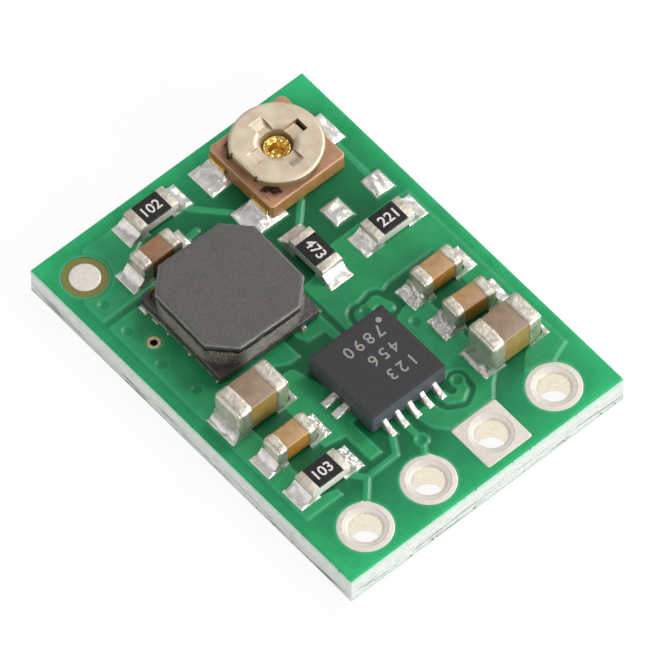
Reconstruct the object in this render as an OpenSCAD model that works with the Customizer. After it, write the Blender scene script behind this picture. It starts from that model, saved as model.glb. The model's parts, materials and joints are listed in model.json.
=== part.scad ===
// Small step-up converter module: a two-layer green board with four plated pin holes,
// a trimmer with a turning rotor, a shielded inductor, a leadless converter chip,
// four chip resistors and six chip capacitors.
// Millimetres. Origin on the underside, in the middle of the board. X runs along the pin row,
// Y from the pin row to the trimmer, Z up.

/* [Board] */
// Width of the board, along the pin row
board_w = 11; // [10.8:0.1:16]
// Length of the board, across the pin row
board_l = 14.9; // [14.7:0.1:20]
// Thickness of the glass laminate
laminate_t = 1.04; // [0.6:0.02:1.6]
// Thickness of the copper foil
foil_t = 0.035; // [0.018:0.001:0.07]
// Thickness of the solder mask
mask_t = 0.03; // [0.015:0.005:0.05]
// Margin of a mask opening around its pad
mask_margin = 0.03; // [0.03:0.01:0.06]
// Width of the mask's shoulder beside a copper edge
mask_shoulder = 0.02; // [0.01:0.005:0.025]
// Distance from the board edge to the copper planes
plane_inset = 0.4; // [0.2:0.05:0.5]
// Width of the gap that the planes keep from other copper
plane_gap = 0.22; // [0.15:0.01:0.25]
// Width of a copper trace
trace_w = 0.2; // [0.15:0.01:0.25]
// Width of the hooked stretches of feedback copper
hook_w = 0.34; // [0.3:0.01:0.4]

/* [Pin holes] */
// Distance between neighbouring pin holes
pin_pitch = 2.54; // [2.4:0.01:2.6]
// Bore of a plated pin hole
pin_hole_d = 1.02; // [0.8:0.02:1.2]
// Diameter of a round pin pad and side of the square one
pin_pad_d = 1.74; // [1.6:0.02:1.9]
// Distance from the board edge to the pin row
pin_row_inset = 1.18; // [1.1:0.02:1.3]
// Sideways shift of the pin row from the middle of the board
pin_row_shift = -0.08; // [-0.2:0.02:0.2]
// Wall of the plating in a hole
plating_t = 0.03; // [0.02:0.005:0.05]

/* [Vias and fiducial] */
// Bore of a plated via
via_d = 0.25; // [0.2:0.01:0.3]
// Diameter of the copper ring around a via
via_pad_d = 0.5; // [0.44:0.02:0.6]
// Diameter of the fiducial disc
fiducial_d = 1.0; // [0.8:0.05:1.2]
// Diameter of the mask opening around the fiducial disc
fiducial_opening_d = 1.5; // [1.3:0.05:1.6]
// Gap between that opening and the copper around it
fiducial_gap = 0.11; // [0.06:0.01:0.15]

/* [Solder] */
// Clearance between the mask over copper and a part's underside
stand_off = 0.01; // [0.005:0.005:0.03]
// Height of the dome of solder on a spare pad
spare_dome_h = 0.14; // [0.08:0.01:0.2]
// Width of a spare pad, along X
spare_pad_w = 0.76; // [0.6:0.02:0.9]
// Length of a spare pad, along Y
spare_pad_l = 0.84; // [0.7:0.02:0.9]

/* [Chip resistors] */
// Length of a chip resistor
resistor_l = 1.58; // [1.5:0.02:1.7]
// Width of a chip resistor
resistor_w = 0.82; // [0.7:0.02:0.9]
// Height of a chip resistor's terminals
resistor_h = 0.45; // [0.35:0.01:0.55]
// Length of a resistor terminal on the top face
resistor_band = 0.3; // [0.2:0.02:0.4]
// Wall of a resistor terminal
resistor_wall = 0.025; // [0.015:0.005:0.04]
// Thickness of the black overcoat
overcoat_t = 0.04; // [0.03:0.005:0.06]
// Reach of the pad beyond the resistor's end
resistor_toe = 0.48; // [0.3:0.02:0.5]
// Width of a resistor pad
resistor_land_w = 0.95; // [0.9:0.01:1.0]
// Height of the solder on a resistor's end
resistor_fillet_h = 0.2; // [0.1:0.02:0.34]

/* [Small capacitors] */
// Length of a small capacitor
small_cap_l = 1.6; // [1.5:0.02:1.7]
// Width of a small capacitor
small_cap_w = 0.8; // [0.7:0.02:0.88]
// Height of a small capacitor
small_cap_h = 0.8; // [0.6:0.02:1.0]
// Length of a small capacitor's terminal
small_cap_band = 0.36; // [0.25:0.01:0.45]
// Reach of the pad beyond the small capacitor's end
small_cap_toe = 0.49; // [0.3:0.02:0.52]
// Width of a small capacitor's pad
small_cap_land_w = 0.95; // [0.9:0.01:1.0]
// Height of the solder on a small capacitor's end
small_cap_fillet_h = 0.26; // [0.2:0.02:0.55]

/* [Large capacitors] */
// Length of a large capacitor
large_cap_l = 2.0; // [1.9:0.02:2.1]
// Width of a large capacitor
large_cap_w = 1.22; // [1.1:0.02:1.26]
// Height of a large capacitor
large_cap_h = 1.25; // [0.9:0.05:1.35]
// Length of a large capacitor's terminal
large_cap_band = 0.5; // [0.35:0.01:0.6]
// Reach of the pad beyond the large capacitor's end
large_cap_toe = 0.32; // [0.2:0.02:0.36]
// Width of a large capacitor's pad
large_cap_land_w = 1.26; // [1.2:0.01:1.3]
// Height of the solder on a large capacitor's end
large_cap_fillet_h = 0.4; // [0.3:0.05:0.85]
// Wall of a capacitor terminal
cap_wall = 0.03; // [0.02:0.005:0.04]
// Radius of a capacitor terminal's outer edges
cap_edge_r = 0.09; // [0.04:0.01:0.15]

/* [Inductor] */
// Side of the inductor, across its flats
inductor_w = 3.94; // [3.7:0.02:4.0]
// Cut of the octagonal flange's corners, along each side
flange_cut = 0.78; // [0.5:0.02:1.0]
// Corner radius of the shield ring
ring_corner_r = 1.2; // [0.5:0.05:1.3]
// Corner radius of the base plate
inductor_base_r = 0.12; // [0.05:0.01:0.25]
// Thickness of the terminals under the base
inductor_terminal_t = 0.05; // [0.03:0.01:0.1]
// Width of a terminal, from the edge inwards
inductor_terminal_w = 1.0; // [0.7:0.05:1.3]
// Thickness of the base plate
inductor_base_t = 0.3; // [0.2:0.02:0.4]
// Height of the shield ring
ring_h = 0.6; // [0.5:0.02:0.8]
// Height of the gap between shield ring and flange
core_gap = 0.18; // [0.1:0.01:0.3]
// Thickness of the flange
flange_t = 0.2; // [0.15:0.01:0.3]
// Radius of the core's post
post_r = 0.75; // [0.6:0.05:0.9]
// Wall of the shield ring at its flats
ring_wall = 0.3; // [0.2:0.02:0.45]
// Clearance around the winding
winding_clearance = 0.05; // [0.03:0.01:0.08]
// Setback of the dark adhesive in the gap from the flange's edge
adhesive_setback = 0.14; // [0.08:0.01:0.2]
// Reach of the inductor's pads beyond its side
inductor_toe = 0.08; // [0.04:0.01:0.12]
// Turn of the inductor on its pads, in degrees
inductor_turn = -1.5; // [-3:0.5:0]

/* [Converter chip] */
// Side of the square chip
chip_w = 2.96; // [2.9:0.02:3.04]
// Height of the chip
chip_h = 0.76; // [0.7:0.02:1.0]
// Distance between neighbouring leads
lead_pitch = 0.5; // [0.48:0.01:0.52]
// Width of a lead
lead_w = 0.24; // [0.18:0.01:0.28]
// Length of a lead under the chip
lead_l = 0.4; // [0.3:0.02:0.45]
// Thickness of the lead frame
lead_t = 0.2; // [0.15:0.01:0.25]
// Reach of the pads beyond the chip on its -X and -Y sides
lead_toe = 0.5; // [0.3:0.02:0.52]
// Reach of the pads beyond the chip on its +X and +Y sides
far_toe = 0.28; // [0.2:0.02:0.52]
// Width of the thermal pad, along X
thermal_w = 1.65; // [1.4:0.05:1.8]
// Length of the thermal pad, along Y
thermal_l = 1.8; // [1.5:0.05:1.9]
// Width of a tie bar that shows at the chip's side
tie_w = 0.3; // [0.2:0.02:0.36]
// Height of the solder on a tie bar's end
tie_fillet_h = 0.1; // [0.05:0.01:0.15]
// Side of the silicon die
die_w = 1.3; // [1.0:0.05:1.4]
// Thickness of the silicon die
die_t = 0.2; // [0.15:0.01:0.3]

/* [Trimmer] */
// Width of the trimmer's base, along X
trimmer_w = 3.04; // [3.0:0.02:3.1]
// Length of the trimmer's base, along Y
trimmer_l = 3.0; // [2.96:0.02:3.06]
// Height of the trimmer's base
trimmer_base_h = 0.64; // [0.5:0.02:0.8]
// Cut of the base's corners
trimmer_corner = 0.1; // [0.06:0.02:0.4]
// Thickness of the terminal strips
strip_t = 0.1; // [0.08:0.01:0.12]
// Width of an end terminal
end_terminal_w = 0.75; // [0.6:0.05:0.9]
// Height of the terminals on the base's sides
terminal_rise = 0.42; // [0.25:0.01:0.46]
// Length of a terminal's foot under the base
terminal_foot = 0.55; // [0.4:0.05:0.7]
// Distance between the middles of the two end terminals
end_terminal_pitch = 1.98; // [1.9:0.02:2.0]
// Width of the wiper terminal
wiper_terminal_w = 1.0; // [0.9:0.05:1.1]
// Reach of an end terminal's pad beyond the base
end_toe = 0.83; // [0.6:0.01:0.85]
// Reach of the wiper terminal's pad beyond the base
wiper_toe = 0.7; // [0.5:0.02:0.72]
// Height of the solder on a trimmer terminal
trimmer_fillet_h = 0.21; // [0.1:0.01:0.25]
// Length of a trimmer pad along the base's side
trimmer_land_l = 1.18; // [1.14:0.02:1.2]
// How far the trimmer sits from the middle of its pads
trimmer_drift = 0.07; // [0:0.01:0.1]

/* [Trimmer rotor] */
// Radius of the rotor disc
rotor_r = 1.5; // [1.4:0.01:1.52]
// Distance from the axis to the rotor's flat
rotor_flat = 1.35; // [1.25:0.01:1.38]
// Thickness of the rotor disc
rotor_t = 0.22; // [0.18:0.01:0.3]
// Bevel of the rotor disc's rim
rotor_edge = 0.055; // [0.03:0.005:0.08]
// Gap between the base and the underside of the disc
rotor_lift = 0.3; // [0.26:0.01:0.36]
// Inner radius of the rotor's well
well_r = 0.54; // [0.5:0.01:0.6]
// Wall of the well and its floor
well_t = 0.1; // [0.08:0.01:0.12]
// Radial clearance between the well's floor and the rivet
rivet_clearance = 0.02; // [0.015:0.005:0.04]
// Height clearance above and below the well's floor
turn_clearance = 0.03; // [0.02:0.005:0.04]
// Width of the cross slot
slot_w = 0.46; // [0.35:0.01:0.5]
// Reach of the cross slot from the axis
slot_reach = 1.05; // [0.95:0.01:1.1]
// Depth of the cross slot
slot_depth = 0.13; // [0.08:0.01:0.15]
// Length of the sheared window at one end of the slot
window_l = 0.12; // [0.08:0.01:0.16]
// Outer radius of the rivet's shank
rivet_r = 0.3; // [0.26:0.01:0.34]
// Bore radius of the rivet
rivet_bore_r = 0.18; // [0.14:0.01:0.22]
// Radius of the rivet's head
rivet_head_r = 0.44; // [0.4:0.01:0.48]
// Thickness of the rivet's head
rivet_head_t = 0.07; // [0.05:0.01:0.08]
// Inner radius of the resistive track
track_in_r = 0.86; // [0.84:0.01:0.92]
// Outer radius of the resistive track
track_out_r = 1.3; // [1.2:0.01:1.36]
// Thickness of the resistive track
track_t = 0.02; // [0.01:0.005:0.03]
// Opening of the track's horseshoe
track_gap = 0.75; // [0.5:0.05:1.0]
// Side of the pad at each end of the track
track_end_w = 0.5; // [0.4:0.02:0.6]
// Distance of those pads from the axis, along X
track_end_x = 1.1; // [1.0:0.02:1.15]
// Distance of those pads from the axis, along Y
track_end_y = 1.0; // [0.9:0.02:1.1]
// Radius of the wiper's contact button
contact_r = 0.12; // [0.08:0.01:0.15]
// Clearance between the contact button and the track
contact_clearance = 0.015; // [0.01:0.005:0.03]
// Thickness of the wiper's leaf
leaf_t = 0.06; // [0.04:0.01:0.08]
// Width of the wiper's leaf
leaf_w = 1.08; // [0.8:0.02:1.2]

/* [Hidden] */
$fn = 64;

// Heights, from the underside up
laminate_z = mask_t + foil_t;
board_z = laminate_z + laminate_t;
pad_z = board_z + foil_t;
film_t = mask_t + stand_off;
seat_z = pad_z + film_t;

// Pin holes and via barrels
pin_count = 4;
square_pin = 2;
ground_pin = 2;
pin_y = pin_row_inset - board_l / 2;
function pin_x(i) = pin_row_shift + (i - (pin_count - 1) / 2) * pin_pitch;
via_wall_r = via_d / 2 + plating_t;
pin_wall_r = pin_hole_d / 2 + plating_t;

// Places on the board, and the turns of the parts that lie askew or across
open_via = [-4.38, 2.97];
covered_vias = [
    [-4.65, 5.0], [-4.72, 3.8], [-4.72, 2.2], [-4.5, 0.8],
    [-0.57, -5.03], [1.65, -4.15], [1.2, -0.45], [2.1, -1.74]
];
all_vias = concat([open_via], covered_vias);
fiducial_at = [-4.42, 6.16];
spare_pads_at = [[2.93, 2.86], [4.55, 2.83]];
resistors_at = [[-1.44, 6.49], [1.35, 2.04], [3.76, 1.44], [-3.73, -4.13]];
resistor_turns = [0, 90, 0, 0];
small_caps_at = [[-2.44, 5.12], [3.61, -0.97], [3.61, -2.48], [-3.72, -2.61]];
small_cap_turns = [0, 0, -3, 0];
large_caps_at = [[-3.72, -0.84], [3.63, -4.1]];
inductor_at = [-1.85, 2.34];
chip_at = [-0.06, -2.43];
trimmer_at = [2.73, 5.43];

// Trimmer heights above its seat
disc_z = trimmer_base_h + rotor_lift;
floor_z = trimmer_base_h + turn_clearance;
head_z = floor_z + well_t + turn_clearance;
trimmer_land_y = trimmer_at[1] - trimmer_drift;

// Inductor heights above its seat
ring_z = inductor_terminal_t + inductor_base_t;
gap_z = ring_z + ring_h;
flange_z = gap_z + core_gap;
ring_bore_r = inductor_w / 2 - ring_wall;

// Leads of the converter chip, five on each of two sides
leads_a_side = 5;
function lead_x(i) = (i - (leads_a_side - 1) / 2) * lead_pitch;
tie_places = [-lead_pitch / 2, lead_pitch / 2];
// Reach of the pads on the near sides, -X and -Y, and half a turn on
chip_toes = [lead_toe, far_toe];

// Copper planes and traces, as they show under the mask
plane_x = board_w / 2 - plane_inset;
corner_plane = [
    [-plane_x, 4.52], [-3, 4.52], [-3, 5.6], [-2.3, 6], [-2.3, 6.95],
    [-3.85, 6.95], fiducial_at, [-plane_x, 5.4]
];
input_plane = [
    [-plane_x, 4.27], [-2.9, 4.27], [-2.9, 1], [-1.4, 1], [-1.36, -0.36], [-1.8, -0.36],
    [-2.25, -0.1], [-2.6, 0.1], [-4.2, 0.1], [-4.2, -4.5], [-3.65, -4.7], [-3.65, -4.95],
    [-plane_x, -4.95]
];
ground_plane = [
    [-2.95, -0.35], [-1.85, -0.55], [-1.5, -1.7], [1.4, -1.7], [1.9, -1.1], [2.9, -1.1], [2.9, -4.6],
    [2.45, -4.95], [2.05, -5.4], [0.35, -5.4], [-0.05, -4.95], [-0.2, -4.2], [0.55, -4.2], [0.6, -4.6],
    [1.4, -4.6], [1.4, -3.2], [-1.75, -3.2], [-1.75, -4.58], [-2.22, -4.58], [-2.22, -3.45], [-2.95, -3.3]
];
switch_plane = [
    [-1, 4.2], [0.08, 4.2], [0.08, -0.9], [-0.2, -0.9], [-0.2, -0.18], [-0.85, -0.12], [-1, 0.2]
];
output_plane = [
    [0.32, 1.5], [0.85, 1.55], [1.9, 2.1], [plane_x, 2.1], [plane_x, -5.3], [4.3, -5.6], [3.35, -5.3],
    [3.9, -4.75], [4.2, -4.6], [4.2, -0.12], [2.4, -0.12], [0.32, -0.72]
];
traces = [
    [[-0.65, 6.3], [-0.45, 6], [0.6, 4.85]],
    [[1.4, 3.05], [1.75, 3.3], [2.4, 3.95], [2.4, 5.6], [1.2, 6.3]],
    [[4.55, 4.9], [4.55, 2.9]],
    [[-1.06, -4.2], [-1.5, -4.93], [-2.7, -4.97], [-3, -4.6], [-3, -4.2]],
    [[-2.7, -4.97], [-3.2, -5.5]],
    [[-0.56, -4.2], [-0.57, -5.03], [-0.85, -5.5]],
    [[-1.35, 5.12], [-0.75, 5.2]]
];
// The two hooked ends of the feedback copper, each around a via
lower_hook = [[0.94, -4.2], [1.0, -4.5], [1.3, -4.68], [1.6, -4.5], covered_vias[5]];
upper_hook = [[0.94, -0.7], [1.0, -0.4], covered_vias[6], [1.7, -0.34], [1.86, -0.8]];
fiducial_clear_r = fiducial_opening_d / 2 + fiducial_gap;

// Puts a piece at its place on the board, at height z
module place(at, z, turn = 0) {
    translate([at[0], at[1], z]) rotate(turn) children();
}

module place_resistor(i, z) {
    place(resistors_at[i], z, resistor_turns[i]) children();
}

module place_small_cap(i, z) {
    place(small_caps_at[i], z, small_cap_turns[i]) children();
}

// Draws its child at both ends of a part, the second one mirrored
module both_ends() {
    children();
    mirror([1, 0, 0]) children();
}

// Corner points of a rectangle with round corners, in four arcs
function round_rectangle(w, l, r) = [
    for (corner = [0 : 3], step = [0 : 6])
    let (
        sign_x = corner == 0 || corner == 3 ? 1 : -1,
        sign_y = corner < 2 ? 1 : -1,
        turn = corner * 90 + step * 15
    )
    [sign_x * (w / 2 - r) + r * cos(turn), sign_y * (l / 2 - r) + r * sin(turn)]
];

// Corner points of a rectangle with cut corners
function cut_rectangle(w, l, cut) = [
    [w / 2, cut - l / 2], [w / 2, l / 2 - cut], [w / 2 - cut, l / 2], [cut - w / 2, l / 2],
    [-w / 2, l / 2 - cut], [-w / 2, cut - l / 2], [cut - w / 2, -l / 2], [w / 2 - cut, -l / 2]
];

// A stretch of copper with round ends along a list of points
module trace(points, w) {
    for (i = [0 : len(points) - 2]) {
        step = points[i + 1] - points[i];
        translate(points[i]) rotate(atan2(step[1], step[0]))
            translate([0, -w / 2]) square([norm(step), w]);
    }
    for (p = points) translate(p) circle(d = w);
}

// One pad of a two-ended chip, on the +X end
module chip_land(l, band, toe, land_w, margin) {
    translate([l / 2 - band - margin, -land_w / 2 - margin])
        square([band + toe + 2 * margin, land_w + 2 * margin]);
}

// Pads of the two-ended chips
module chip_lands(margin) {
    for (i = [0 : len(resistors_at) - 1]) place_resistor(i, 0) both_ends()
        chip_land(resistor_l, resistor_band, resistor_toe, resistor_land_w, margin);
    for (i = [0 : len(small_caps_at) - 1]) place_small_cap(i, 0) both_ends()
        chip_land(small_cap_l, small_cap_band, small_cap_toe, small_cap_land_w, margin);
    for (at = large_caps_at) place(at, 0) both_ends()
        chip_land(large_cap_l, large_cap_band, large_cap_toe, large_cap_land_w, margin);
}

// Pads of the converter chip: leads, tie bars and thermal pad
module converter_lands(margin) {
    place(chip_at, 0) {
        for (turn = [0, 180], i = [0 : leads_a_side - 1]) rotate(turn)
            translate([lead_x(i) - lead_w / 2 - margin, -chip_w / 2 - chip_toes[turn / 180] - margin])
                square([lead_w + 2 * margin, lead_l + chip_toes[turn / 180] + 2 * margin]);
        for (turn = [0, 180], y = tie_places) rotate(turn)
            translate([-chip_w / 2 - chip_toes[turn / 180] - margin, y - tie_w / 2 - margin])
                square([chip_w / 2 + chip_toes[turn / 180] + margin, tie_w + 2 * margin]);
        square([thermal_w + 2 * margin, thermal_l + 2 * margin], center = true);
    }
}

// Pads of the inductor
module inductor_lands(margin) {
    inner = inductor_w / 2 - inductor_terminal_w - margin;
    land_l = inductor_w - 2 * inductor_base_r;
    translate(inductor_at) both_ends()
        translate([inner, -land_l / 2 - margin])
            square([inductor_w / 2 + inductor_toe + margin - inner, land_l + 2 * margin]);
}

// Places of the trimmer's pads
end_lands_y = [trimmer_land_y - end_terminal_pitch / 2, trimmer_land_y + end_terminal_pitch / 2];
end_land_x = trimmer_at[0] - trimmer_w / 2 - end_toe;
end_land_w = end_toe + terminal_foot;
wiper_land_x = trimmer_at[0] + trimmer_w / 2 - terminal_foot;
wiper_land_w = terminal_foot + wiper_toe;

// Pads of the trimmer
module trimmer_lands(margin) {
    long = trimmer_land_l + 2 * margin;
    for (y = end_lands_y)
        translate([end_land_x - margin, y - long / 2]) square([end_land_w + 2 * margin, long]);
    translate([wiper_land_x - margin, trimmer_land_y - long / 2])
        square([wiper_land_w + 2 * margin, long]);
}

// The two spare pads
module spare_lands(margin) {
    for (at = spare_pads_at)
        translate(at) square([spare_pad_w + 2 * margin, spare_pad_l + 2 * margin], center = true);
}

// Every pad that takes solder
module solder_lands(margin) {
    chip_lands(margin);
    converter_lands(margin);
    inductor_lands(margin);
    trimmer_lands(margin);
    spare_lands(margin);
}

// One pin pad, round or square
module pin_pad(i, margin) {
    translate([pin_x(i), pin_y])
        if (i == square_pin) square(pin_pad_d + 2 * margin, center = true);
        else circle(d = pin_pad_d + 2 * margin);
}

module pin_pads(margin) {
    for (i = [0 : pin_count - 1]) pin_pad(i, margin);
}

module via_circles(r) {
    for (at = all_vias) translate(at) circle(r);
}

// The two hooks of feedback copper, grown by a margin
module hooks(margin) {
    for (hook = [lower_hook, upper_hook]) trace(hook, hook_w + 2 * margin);
}

// The etched copper of the top side
module copper_top_outline() {
    difference() {
        union() {
            difference() {
                union() {
                    polygon(corner_plane);
                    polygon(input_plane);
                    polygon(ground_plane);
                    polygon(switch_plane);
                    polygon(output_plane);
                }
                hooks(plane_gap);
                translate(fiducial_at) circle(fiducial_clear_r);
            }
            hooks(0);
            for (points = traces) trace(points, trace_w);
            via_circles(via_pad_d / 2);
            solder_lands(0);
        }
        pin_pads(0);
        via_circles(via_wall_r);
    }
}

// The ground plane of the underside, from the pin row to the far end, which one pin joins
module copper_bottom_outline() {
    difference() {
        translate([-plane_x, pin_y]) square([2 * plane_x, board_l - plane_inset - pin_row_inset]);
        for (i = [0 : pin_count - 1]) pin_pad(i, i == ground_pin ? 0 : plane_gap);
        via_circles(via_wall_r);
    }
}

// Openings in the top mask
module mask_openings() {
    solder_lands(mask_margin);
    pin_pads(mask_margin);
    translate(fiducial_at) circle(d = fiducial_opening_d);
    translate(open_via) circle(d = via_pad_d);
}

module board_outline() {
    square([board_w, board_l], center = true);
}

module substrate() {
    color("#c9c3a4") translate([0, 0, laminate_z]) linear_extrude(laminate_t) difference() {
        board_outline();
        for (i = [0 : pin_count - 1]) translate([pin_x(i), pin_y]) circle(pin_wall_r);
        via_circles(via_wall_r);
    }
}

module copper_foil_top() {
    color("#b87333") translate([0, 0, board_z]) linear_extrude(foil_t) copper_top_outline();
}

module copper_foil_bottom() {
    color("#b87333") translate([0, 0, mask_t]) linear_extrude(foil_t) copper_bottom_outline();
}

// The top mask follows the copper: a thin sheet on the laminate, raised where copper lies under it
module solder_mask_top() {
    color("#1f8f52") translate([0, 0, board_z]) difference() {
        union() {
            linear_extrude(mask_t) board_outline();
            linear_extrude(foil_t + mask_t) offset(delta = mask_shoulder) copper_top_outline();
        }
        linear_extrude(foil_t) copper_top_outline();
        linear_extrude(3 * (foil_t + mask_t), center = true) mask_openings();
    }
}

// The underside's mask levels out over its copper
module solder_mask_bottom() {
    color("#1f8f52") difference() {
        linear_extrude(laminate_z) board_outline();
        translate([0, 0, mask_t]) linear_extrude(foil_t) copper_bottom_outline();
        linear_extrude(3 * laminate_z, center = true) {
            pin_pads(mask_margin);
            translate(open_via) circle(d = via_pad_d);
        }
        translate([0, 0, mask_t]) linear_extrude(foil_t) via_circles(via_wall_r);
    }
}

// A tinned barrel with a pad on each side of the board
module plated_hole(i) {
    color("#d9d2cb") difference() {
        union() {
            translate([0, 0, board_z]) linear_extrude(foil_t) pin_pad(i, 0);
            translate([0, 0, mask_t]) linear_extrude(foil_t) pin_pad(i, 0);
            translate([pin_x(i), pin_y, mask_t]) cylinder(r = pin_wall_r, h = pad_z - mask_t);
        }
        translate([pin_x(i), pin_y, 0]) cylinder(d = pin_hole_d, h = 2 * pad_z);
    }
}

module via_plating() {
    color("#c9a45a") for (at = all_vias) place(at, mask_t) difference() {
        cylinder(r = via_wall_r, h = pad_z - mask_t);
        translate([0, 0, -pad_z]) cylinder(d = via_d, h = 3 * pad_z);
    }
}

module fiducial_disc() {
    color("#dcd6d2") place(fiducial_at, board_z) cylinder(d = fiducial_d, h = foil_t);
}

// A dome of solder that comes down to the pad at its corners
module spare_pad_solder() {
    reach = norm([spare_pad_w, spare_pad_l]) / 2;
    dome_r = (pow(reach, 2) + pow(spare_dome_h, 2)) / (2 * spare_dome_h);
    color("#d8d8d6") for (at = spare_pads_at) place(at, pad_z) intersection() {
        linear_extrude(2 * spare_dome_h) square([spare_pad_w, spare_pad_l], center = true);
        translate([0, 0, spare_dome_h - dome_r]) sphere(dome_r, $fn = 128);
    }
}

module resistor_body(i) {
    color("#e6e2d8") place_resistor(i, seat_z) translate([0, 0, resistor_h / 2])
        cube([resistor_l - 2 * resistor_wall, resistor_w, resistor_h - 2 * resistor_wall], center = true);
}

// Two C-shaped caps over the resistor's ends
module resistor_terminals(i) {
    end = resistor_l / 2;
    inner = end - resistor_band;
    wall = resistor_wall;
    outline = [
        [inner, 0], [end, 0], [end, resistor_h], [inner, resistor_h], [inner, resistor_h - wall],
        [end - wall, resistor_h - wall], [end - wall, wall], [inner, wall]
    ];
    color("#dcd5cc") place_resistor(i, seat_z) both_ends() rotate([90, 0, 0])
        linear_extrude(resistor_w, center = true) polygon(outline);
}

module resistor_overcoat(i) {
    color("#232224") place_resistor(i, seat_z + resistor_h - resistor_wall)
        translate([0, 0, overcoat_t / 2])
            cube([resistor_l - 2 * resistor_band, resistor_w, overcoat_t], center = true);
}

module capacitor_body(l, w, h) {
    translate([0, 0, h / 2])
        cube([l - 2 * cap_wall, w - 2 * cap_wall, h - 2 * cap_wall], center = true);
}

// Two end caps with round edges, around the body
module capacitor_terminals(l, w, h, band) {
    difference() {
        translate([0, 0, h / 2]) rotate([90, 0, 0]) linear_extrude(w, center = true)
            polygon(round_rectangle(l, h, cap_edge_r));
        translate([0, 0, h / 2]) cube([l - 2 * band, 2 * w, 2 * h], center = true);
        capacitor_body(l, w, h);
    }
}

module small_capacitor_body(i) {
    color(i == 0 ? "#a06c48" : "#b8895c") place_small_cap(i, seat_z)
        capacitor_body(small_cap_l, small_cap_w, small_cap_h);
}

module small_capacitor_terminals(i) {
    color("#d9cfc2") place_small_cap(i, seat_z)
        capacitor_terminals(small_cap_l, small_cap_w, small_cap_h, small_cap_band);
}

module large_capacitor_body(i) {
    color("#94806a") place(large_caps_at[i], seat_z)
        capacitor_body(large_cap_l, large_cap_w, large_cap_h);
}

module large_capacitor_terminals(i) {
    color("#d9cfc2") place(large_caps_at[i], seat_z)
        capacitor_terminals(large_cap_l, large_cap_w, large_cap_h, large_cap_band);
}

// A fillet that falls from height h at an end face to nothing at the pad's toe
module fillet(toe, h, w) {
    steps = 8;
    curve = [for (k = [0 : steps]) [toe * k / steps, h * pow(1 - k / steps, 2)]];
    rotate([90, 0, 0]) linear_extrude(w, center = true) polygon(concat([[0, 0]], curve));
}

// Solder of a two-ended chip: a film on each pad and a fillet on each end
module chip_joints(l, w, band, toe, land_w, fillet_h) {
    both_ends() {
        translate([0, 0, -film_t]) linear_extrude(film_t) chip_land(l, band, toe, land_w, 0);
        translate([l / 2, 0, 0]) fillet(toe, fillet_h, w);
    }
}

module resistor_solder() {
    color("#d8d8d6") for (i = [0 : len(resistors_at) - 1]) place_resistor(i, seat_z)
        chip_joints(
            resistor_l, resistor_w, resistor_band,
            resistor_toe, resistor_land_w, resistor_fillet_h
        );
}

module capacitor_solder() {
    color("#d8d8d6") {
        for (i = [0 : len(small_caps_at) - 1]) place_small_cap(i, seat_z)
            chip_joints(
                small_cap_l, small_cap_w, small_cap_band,
                small_cap_toe, small_cap_land_w, small_cap_fillet_h
            );
        for (at = large_caps_at) place(at, seat_z)
            chip_joints(
                large_cap_l, large_cap_w, large_cap_band,
                large_cap_toe, large_cap_land_w, large_cap_fillet_h
            );
    }
}

module inductor_base() {
    color("#2c2a2a") place(inductor_at, seat_z + inductor_terminal_t) rotate(inductor_turn)
        linear_extrude(inductor_base_t) polygon(round_rectangle(inductor_w, inductor_w, inductor_base_r));
}

// The post and the octagonal flange are one piece of ferrite
module inductor_core() {
    color("#5f5e5e") place(inductor_at, seat_z) rotate(inductor_turn) {
        translate([0, 0, ring_z]) cylinder(r = post_r, h = flange_z - ring_z);
        translate([0, 0, flange_z]) linear_extrude(flange_t)
            polygon(cut_rectangle(inductor_w, inductor_w, flange_cut));
    }
}

module inductor_ring() {
    color("#6a6460") place(inductor_at, seat_z + ring_z) rotate(inductor_turn) difference() {
        linear_extrude(ring_h) polygon(round_rectangle(inductor_w, inductor_w, ring_corner_r));
        translate([0, 0, -ring_h]) cylinder(r = ring_bore_r, h = 3 * ring_h);
    }
}

module inductor_winding() {
    color("#b5632c") place(inductor_at, seat_z + ring_z) difference() {
        cylinder(r = ring_bore_r - winding_clearance, h = ring_h);
        translate([0, 0, -ring_h]) cylinder(r = post_r + winding_clearance, h = 3 * ring_h);
    }
}

// Dark adhesive that closes the gap under the flange
module inductor_adhesive() {
    side = inductor_w - 2 * adhesive_setback;
    color("#161414") place(inductor_at, seat_z + gap_z) rotate(inductor_turn) difference() {
        linear_extrude(core_gap) polygon(cut_rectangle(side, side, flange_cut));
        translate([0, 0, -core_gap]) cylinder(r = ring_bore_r, h = 3 * core_gap);
    }
}

module inductor_terminals() {
    long = inductor_w - 2 * inductor_base_r;
    color("#d8d8d6") place(inductor_at, seat_z) rotate(inductor_turn) both_ends()
        translate([inductor_w / 2 - inductor_terminal_w, -long / 2])
            cube([inductor_terminal_w, long, inductor_terminal_t]);
}

module inductor_solder() {
    color("#d8d8d6") translate([0, 0, pad_z]) linear_extrude(film_t) inductor_lands(0);
}

// The lead frame's flush pieces, as outlines under the chip
module lead_outlines() {
    for (turn = [0, 180], i = [0 : leads_a_side - 1]) rotate(turn)
        translate([lead_x(i) - lead_w / 2, -chip_w / 2]) square([lead_w, lead_l]);
}

module thermal_outline() {
    square([thermal_w, thermal_l], center = true);
    both_ends() for (y = tie_places)
        translate([0, y - tie_w / 2]) square([chip_w / 2, tie_w]);
}

// The moulding closes around the lead frame and the die
module chip_body() {
    color("#38373a") place(chip_at, seat_z) difference() {
        translate([0, 0, chip_h / 2]) cube([chip_w, chip_w, chip_h], center = true);
        linear_extrude(2 * lead_t, center = true) {
            lead_outlines();
            thermal_outline();
        }
        translate([0, 0, lead_t + die_t / 2]) cube([die_w, die_w, die_t], center = true);
    }
}

module chip_leads() {
    color("#cdb9a6") place(chip_at, seat_z) linear_extrude(lead_t) lead_outlines();
}

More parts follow.
